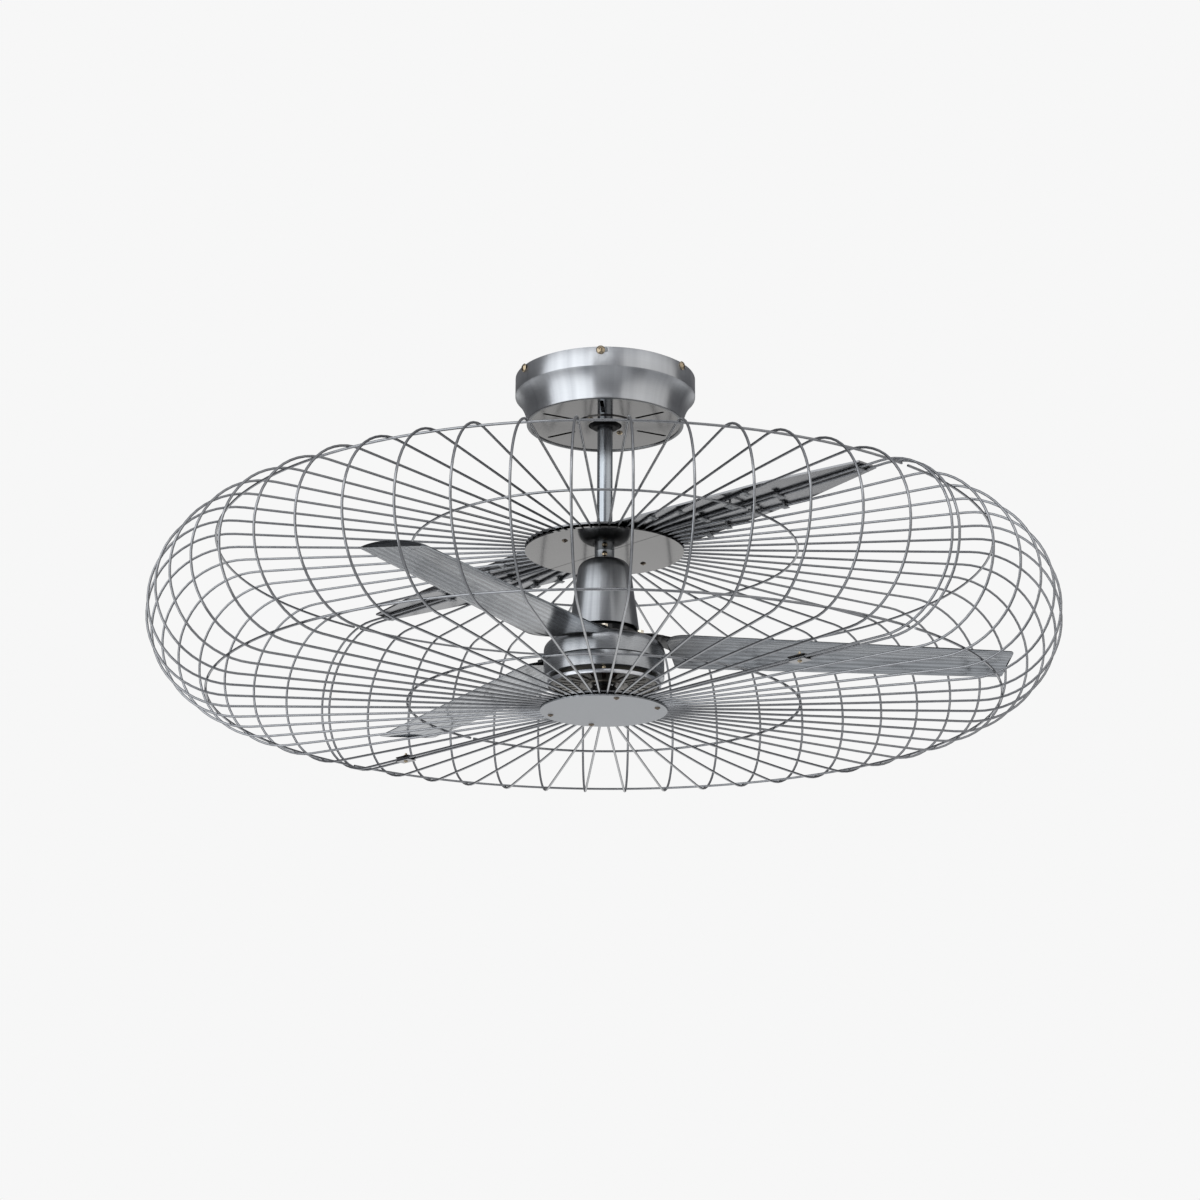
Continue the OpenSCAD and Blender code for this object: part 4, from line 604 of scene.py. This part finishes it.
# Bell cover. A deep-drawn aluminium bell over the upper part of the motor, open underneath
# and brushed on the lathe to a soft satin, which draws the lamps out into upright bands.
bell_metal = turned_metal("satin_bell_aluminium", "#b2b5b8", "#95989c", roughness=0.31,
                          line_mm=0.9, depth=0.03, spread=0.6)
bell_outline = (
    [(44, -348), (45.5, -348), (35.2, -271.5)] + arc(18.2, -271.5, 17, 8, 90, 12)
    + [(13.4, -254.5), (13.4, -256)] + arc(18.2, -271.5, 15.5, 90, 8, 10) + [(33.7, -271.5)]
)
bell_shell = turned("bell_cover_turned", bell_outline, 128)
finish_piece(bell_shell, bell_metal, "hanger", ["bell_cover"], 0.2)

# Motor case. Two machined aluminium shells with a round shoulder and a fine joint between
# them, a bright ring at the foot, and a dark slotted end bell. Fine lathe lines stretch the
# highlights on the shells and the ring. The whole case turns.
case_metal = turned_metal("machined_case_aluminium", "#b9bcbf", "#9c9fa3", roughness=0.27,
                          line_mm=0.9, depth=0.02, spread=0.7)
upper_outline = (
    [(12.5, -366)] + arc(66, -378, 12, 90, 0, 12) + [(78, -394), (72, -394), (72, -378)]
    + arc(66, -378, 6, 0, 90, 8) + [(26, -372), (26, -379.5), (20.05, -379.5), (20.05, -367.5),
                                    (12.5, -367.5)]
)
upper_case = turned("upper_case_turned", upper_outline, 160)
finish_piece(upper_case, case_metal, "rotor", ["upper_case"], 0.3)
lower_outline = [(62, -411), (72, -411), (72, -395), (78, -395), (78, -414), (62, -414)]
lower_case = turned("lower_case_turned", lower_outline, 160)
finish_piece(lower_case, case_metal, "rotor", ["lower_case"], 0.6)
ring_outline = [(71.6, -419.5), (74, -419.5), (74, -424.5), (71.6, -424.5)]
trim_ring = turned("trim_ring_turned", ring_outline, 160)
ring_metal = turned_metal("bright_ring_aluminium", "#e2e4e8", "#c2c5ca", roughness=0.3,
                          line_mm=1.2, depth=0.05, spread=0.5)
finish_piece(trim_ring, ring_metal, "rotor", ["trim_ring"], 0.5)
# The end bell is left as cast, and its rim carries painted shade where it lies behind the ring.
end_bell_metal = painted_shade(
    coated("cast_end_bell", "#a6a39c", "#8b8780", 0.34, 1.0, metallic=1.0),
    by_height=False, start=68, stop=70, share_start=1.0, share_stop=0.12)
dress(["lower_end_bell"], end_bell_metal)

# Flywheel and lower hub. Black enamelled turnings: the flywheel carries the blade irons on
# the case, and the hub carries the cage's lower face on the shaft.
flywheel_outline = [(38, -346), (41.5, -346), (41.5, -362.5), (62, -362.5), (62, -366), (38, -366)]
flywheel = turned("flywheel_turned", flywheel_outline, 128)
finish_piece(flywheel, black_enamel, "rotor", ["flywheel"], 0.5)
hub_outline = [
    (8.55, -424.7), (15, -424.7), (16.5, -426.2), (16.5, -433.7), (19.5, -436.7), (22.5, -438.2),
    (23.5, -439.7), (23.5, -441.7), (18, -443.7), (18, -446.2), (28, -446.2), (28, -449.2),
    (8.55, -449.2),
]
lower_hub = turned("lower_hub_turned", hub_outline, 96)
finish_piece(lower_hub, black_enamel, "hanger", ["lower_hub"], 0.5)

# Motor insides, behind the end bell. Stacked iron laminations that look nearly black, coils
# of enamelled copper wire, and bright ground bearing rings pressed on the shaft.
laminations = coated("stacked_laminations", "#2c2d2f", "#1f2022", 0.5, 0.5, metallic=1.0)
copper = coated("enamelled_copper_wire", "#9a5a30", "#7c4424", 0.35, 0.6, metallic=1.0)
bearing_steel = coated("ground_bearing_steel", "#c2c4c6", "#aeb0b3", 0.18, 2.0, metallic=1.0)
dress(["stator_core", "rotor_ring"], laminations)
dress(["stator_windings"], copper)
dress(["bearing_inner_rings", "bearing_outer_rings", "bearing_balls"], bearing_steel)

# Blade irons. Cranked steel plates in dark enamel, bolted to the flywheel and screwed to the
# top of each blade.
iron_enamel = coated("black_iron_enamel", "#101113", "#0a0b0c", 0.36, 1.5, specular=0.3)
dress(["blade_irons"], iron_enamel)

# Blades. Three cambered blades with rounded corners, polished to a soft mirror, with a grain
# of fine streaks along them that bends the reflections. Sizes are in mm, angles in degrees.
BLADE = {"start": 78, "tip": 526, "root_chord": 120, "tip_chord": 90, "thick": 6, "camber": 4,
         "root_pitch": -6, "tip_pitch": -6.5, "mid_z": -373.5, "droop": 9, "slant": 17,
         "lead_corner": 24, "trail_corner": 10, "tip_corner": 5}


def corner_inset(distance, radius):
    """How far a rounded corner steps in at a distance from the blade's end, in mm."""
    if distance >= radius:
        return 0
    return radius - math.sqrt(max(0, radius * radius - (radius - distance) ** 2))


def blade_point(distance, across, side):
    """A point of the blade's skin in mm: across runs from -1 to 1, side is 1 on top."""
    length = BLADE["tip"] - BLADE["start"]
    share = distance / length
    half = ((BLADE["root_chord"] + share * (BLADE["tip_chord"] - BLADE["root_chord"])) / 2
            - corner_inset(distance, BLADE["lead_corner" if across < 0 else "trail_corner"])
            - corner_inset(length - distance, BLADE["tip_corner"]))
    y = across * half
    z = (BLADE["camber"] * (0.5 - across * across)
         + side * BLADE["thick"] / 2 * math.sqrt(max(0.02, 1 - abs(across) ** 3)))
    pitch = math.radians(BLADE["root_pitch"] + share * (BLADE["tip_pitch"] - BLADE["root_pitch"]))
    x = BLADE["start"] + distance + (1 - share) * BLADE["slant"] * (across + 1) / 2
    return (x, y * math.cos(pitch) - z * math.sin(pitch),
            BLADE["mid_z"] - share * BLADE["droop"] + y * math.sin(pitch) + z * math.cos(pitch))


def blade_skin(name, turn):
    """A closed blade: a grid wrapped round the section, with both ends filled."""
    rounds, lengths = 48, 72
    bpy.ops.object.select_all(action="DESELECT")
    bpy.ops.mesh.primitive_grid_add(x_subdivisions=lengths, y_subdivisions=rounds, size=1,
                                    calc_uvs=True)
    piece = bpy.context.object
    piece.name = name
    length = BLADE["tip"] - BLADE["start"]
    # The grid is closer near both ends, where the corners are round.
    for vertex in piece.data.vertices:
        along, wrap = vertex.co.x + 0.5, vertex.co.y + 0.5
        ease = 0.5 - 0.5 * math.cos(math.pi * along)
        distance = length * (0.35 * along + 0.65 * ease)
        angle = math.tau * wrap
        side = -1 if wrap < 0.5 else 1
        vertex.co = Vector(blade_point(distance, -math.cos(angle), side)) * MM
    bpy.ops.object.mode_set(mode="EDIT")
    bpy.ops.mesh.select_all(action="SELECT")
    bpy.ops.mesh.remove_doubles(threshold=2e-6)
    bpy.ops.mesh.select_all(action="DESELECT")
    bpy.ops.mesh.select_non_manifold()
    bpy.ops.mesh.edge_face_add()
    bpy.ops.mesh.select_all(action="SELECT")
    bpy.ops.mesh.normals_make_consistent(inside=False)
    bpy.ops.object.mode_set(mode="OBJECT")
    piece.data.transform(Matrix.Rotation(math.radians(turn), 4, "Z"))
    return piece


def blade_finish():
    """Polished metal whose streaks run along the blade, from the blade's own UV map.

    The map runs once along the blade, 448 mm, and once round its section, about 220 mm. So the
    streaks are about 90 mm long and 4 mm wide, the grain's lines lie about 10 mm apart, and the
    swells that bend the reflections are about 150 mm by 25 mm.
    """
    material, tree, shader = new_material("polished_blade_metal")
    uv = add_node(tree, "ShaderNodeUVMap", {"uv_map": "UVMap"})
    streak_place = add_node(tree, "ShaderNodeMapping", {"Scale": (5, 60, 1)},
                            {"Vector": uv.outputs[0]})
    streaks = add_node(tree, "ShaderNodeTexNoise",
                       {"Scale": 1.0, "Detail": 6.0, "Roughness": 0.6, "Distortion": 0.6},
                       {0: streak_place.outputs[0]})
    grain_place = add_node(tree, "ShaderNodeMapping", {"Scale": (0.35, 1, 1)},
                           {"Vector": uv.outputs[0]})
    grain = add_node(tree, "ShaderNodeTexWave",
                     {"wave_type": "BANDS", "bands_direction": "Y", "Scale": 7.0,
                      "Distortion": 20.0, "Detail": 1.0, "Detail Scale": 0.3},
                     {0: grain_place.outputs[0]})
    lines = add_node(tree, "ShaderNodeMix", {"data_type": "FLOAT", 0: 0.35},
                     {2: streaks.outputs[0], 3: grain.outputs[1]})
    swell_place = add_node(tree, "ShaderNodeMapping", {"Scale": (3, 9, 1)},
                           {"Vector": uv.outputs[0]})
    swell = add_node(tree, "ShaderNodeTexNoise", {"Scale": 1.0, "Detail": 2.0, "Distortion": 1.2},
                     {0: swell_place.outputs[0]})
    level = add_node(tree, "ShaderNodeMapRange", {1: 0.2, 2: 0.8}, {0: lines.outputs[0]})
    colour = add_node(tree, "ShaderNodeMix", {"data_type": "RGBA", 6: srgb("#64686c"),
                      7: srgb("#a3a8ad")}, {0: level.outputs[0]})
    tree.links.new(colour.outputs[2], shader.inputs["Base Color"])
    rough = add_node(tree, "ShaderNodeMapRange", {3: 0.08, 4: 0.2}, {0: streaks.outputs[0]})
    tree.links.new(rough.outputs[0], shader.inputs["Roughness"])
    fine = add_node(tree, "ShaderNodeBump", {"Strength": 0.35, "Distance": 0.08 * MM},
                    {"Height": lines.outputs[0]})
    wavy = add_node(tree, "ShaderNodeBump", {"Strength": 0.6, "Distance": 1.0 * MM},
                    {"Height": swell.outputs[0], "Normal": fine.outputs[0]})
    tree.links.new(wavy.outputs[0], shader.inputs["Normal"])
    shader.inputs["Metallic"].default_value = 1.0
    return material


# Near the case a blade mirrors the black iron and flywheel; a painted reflection of them darkens
# its inner end.
blade_metal = painted_shade(blade_finish(), by_height=False, start=90, stop=165, share_start=0.2,
                       share_stop=1.0)
blade_turns = (2.9, 122.9, -117.1)
for number, turn in enumerate(blade_turns, 1):
    blade = blade_skin(f"blade_{number}", turn)
    finish_piece(blade, blade_metal, "rotor", ["blades"], edge=0, smooth=50)
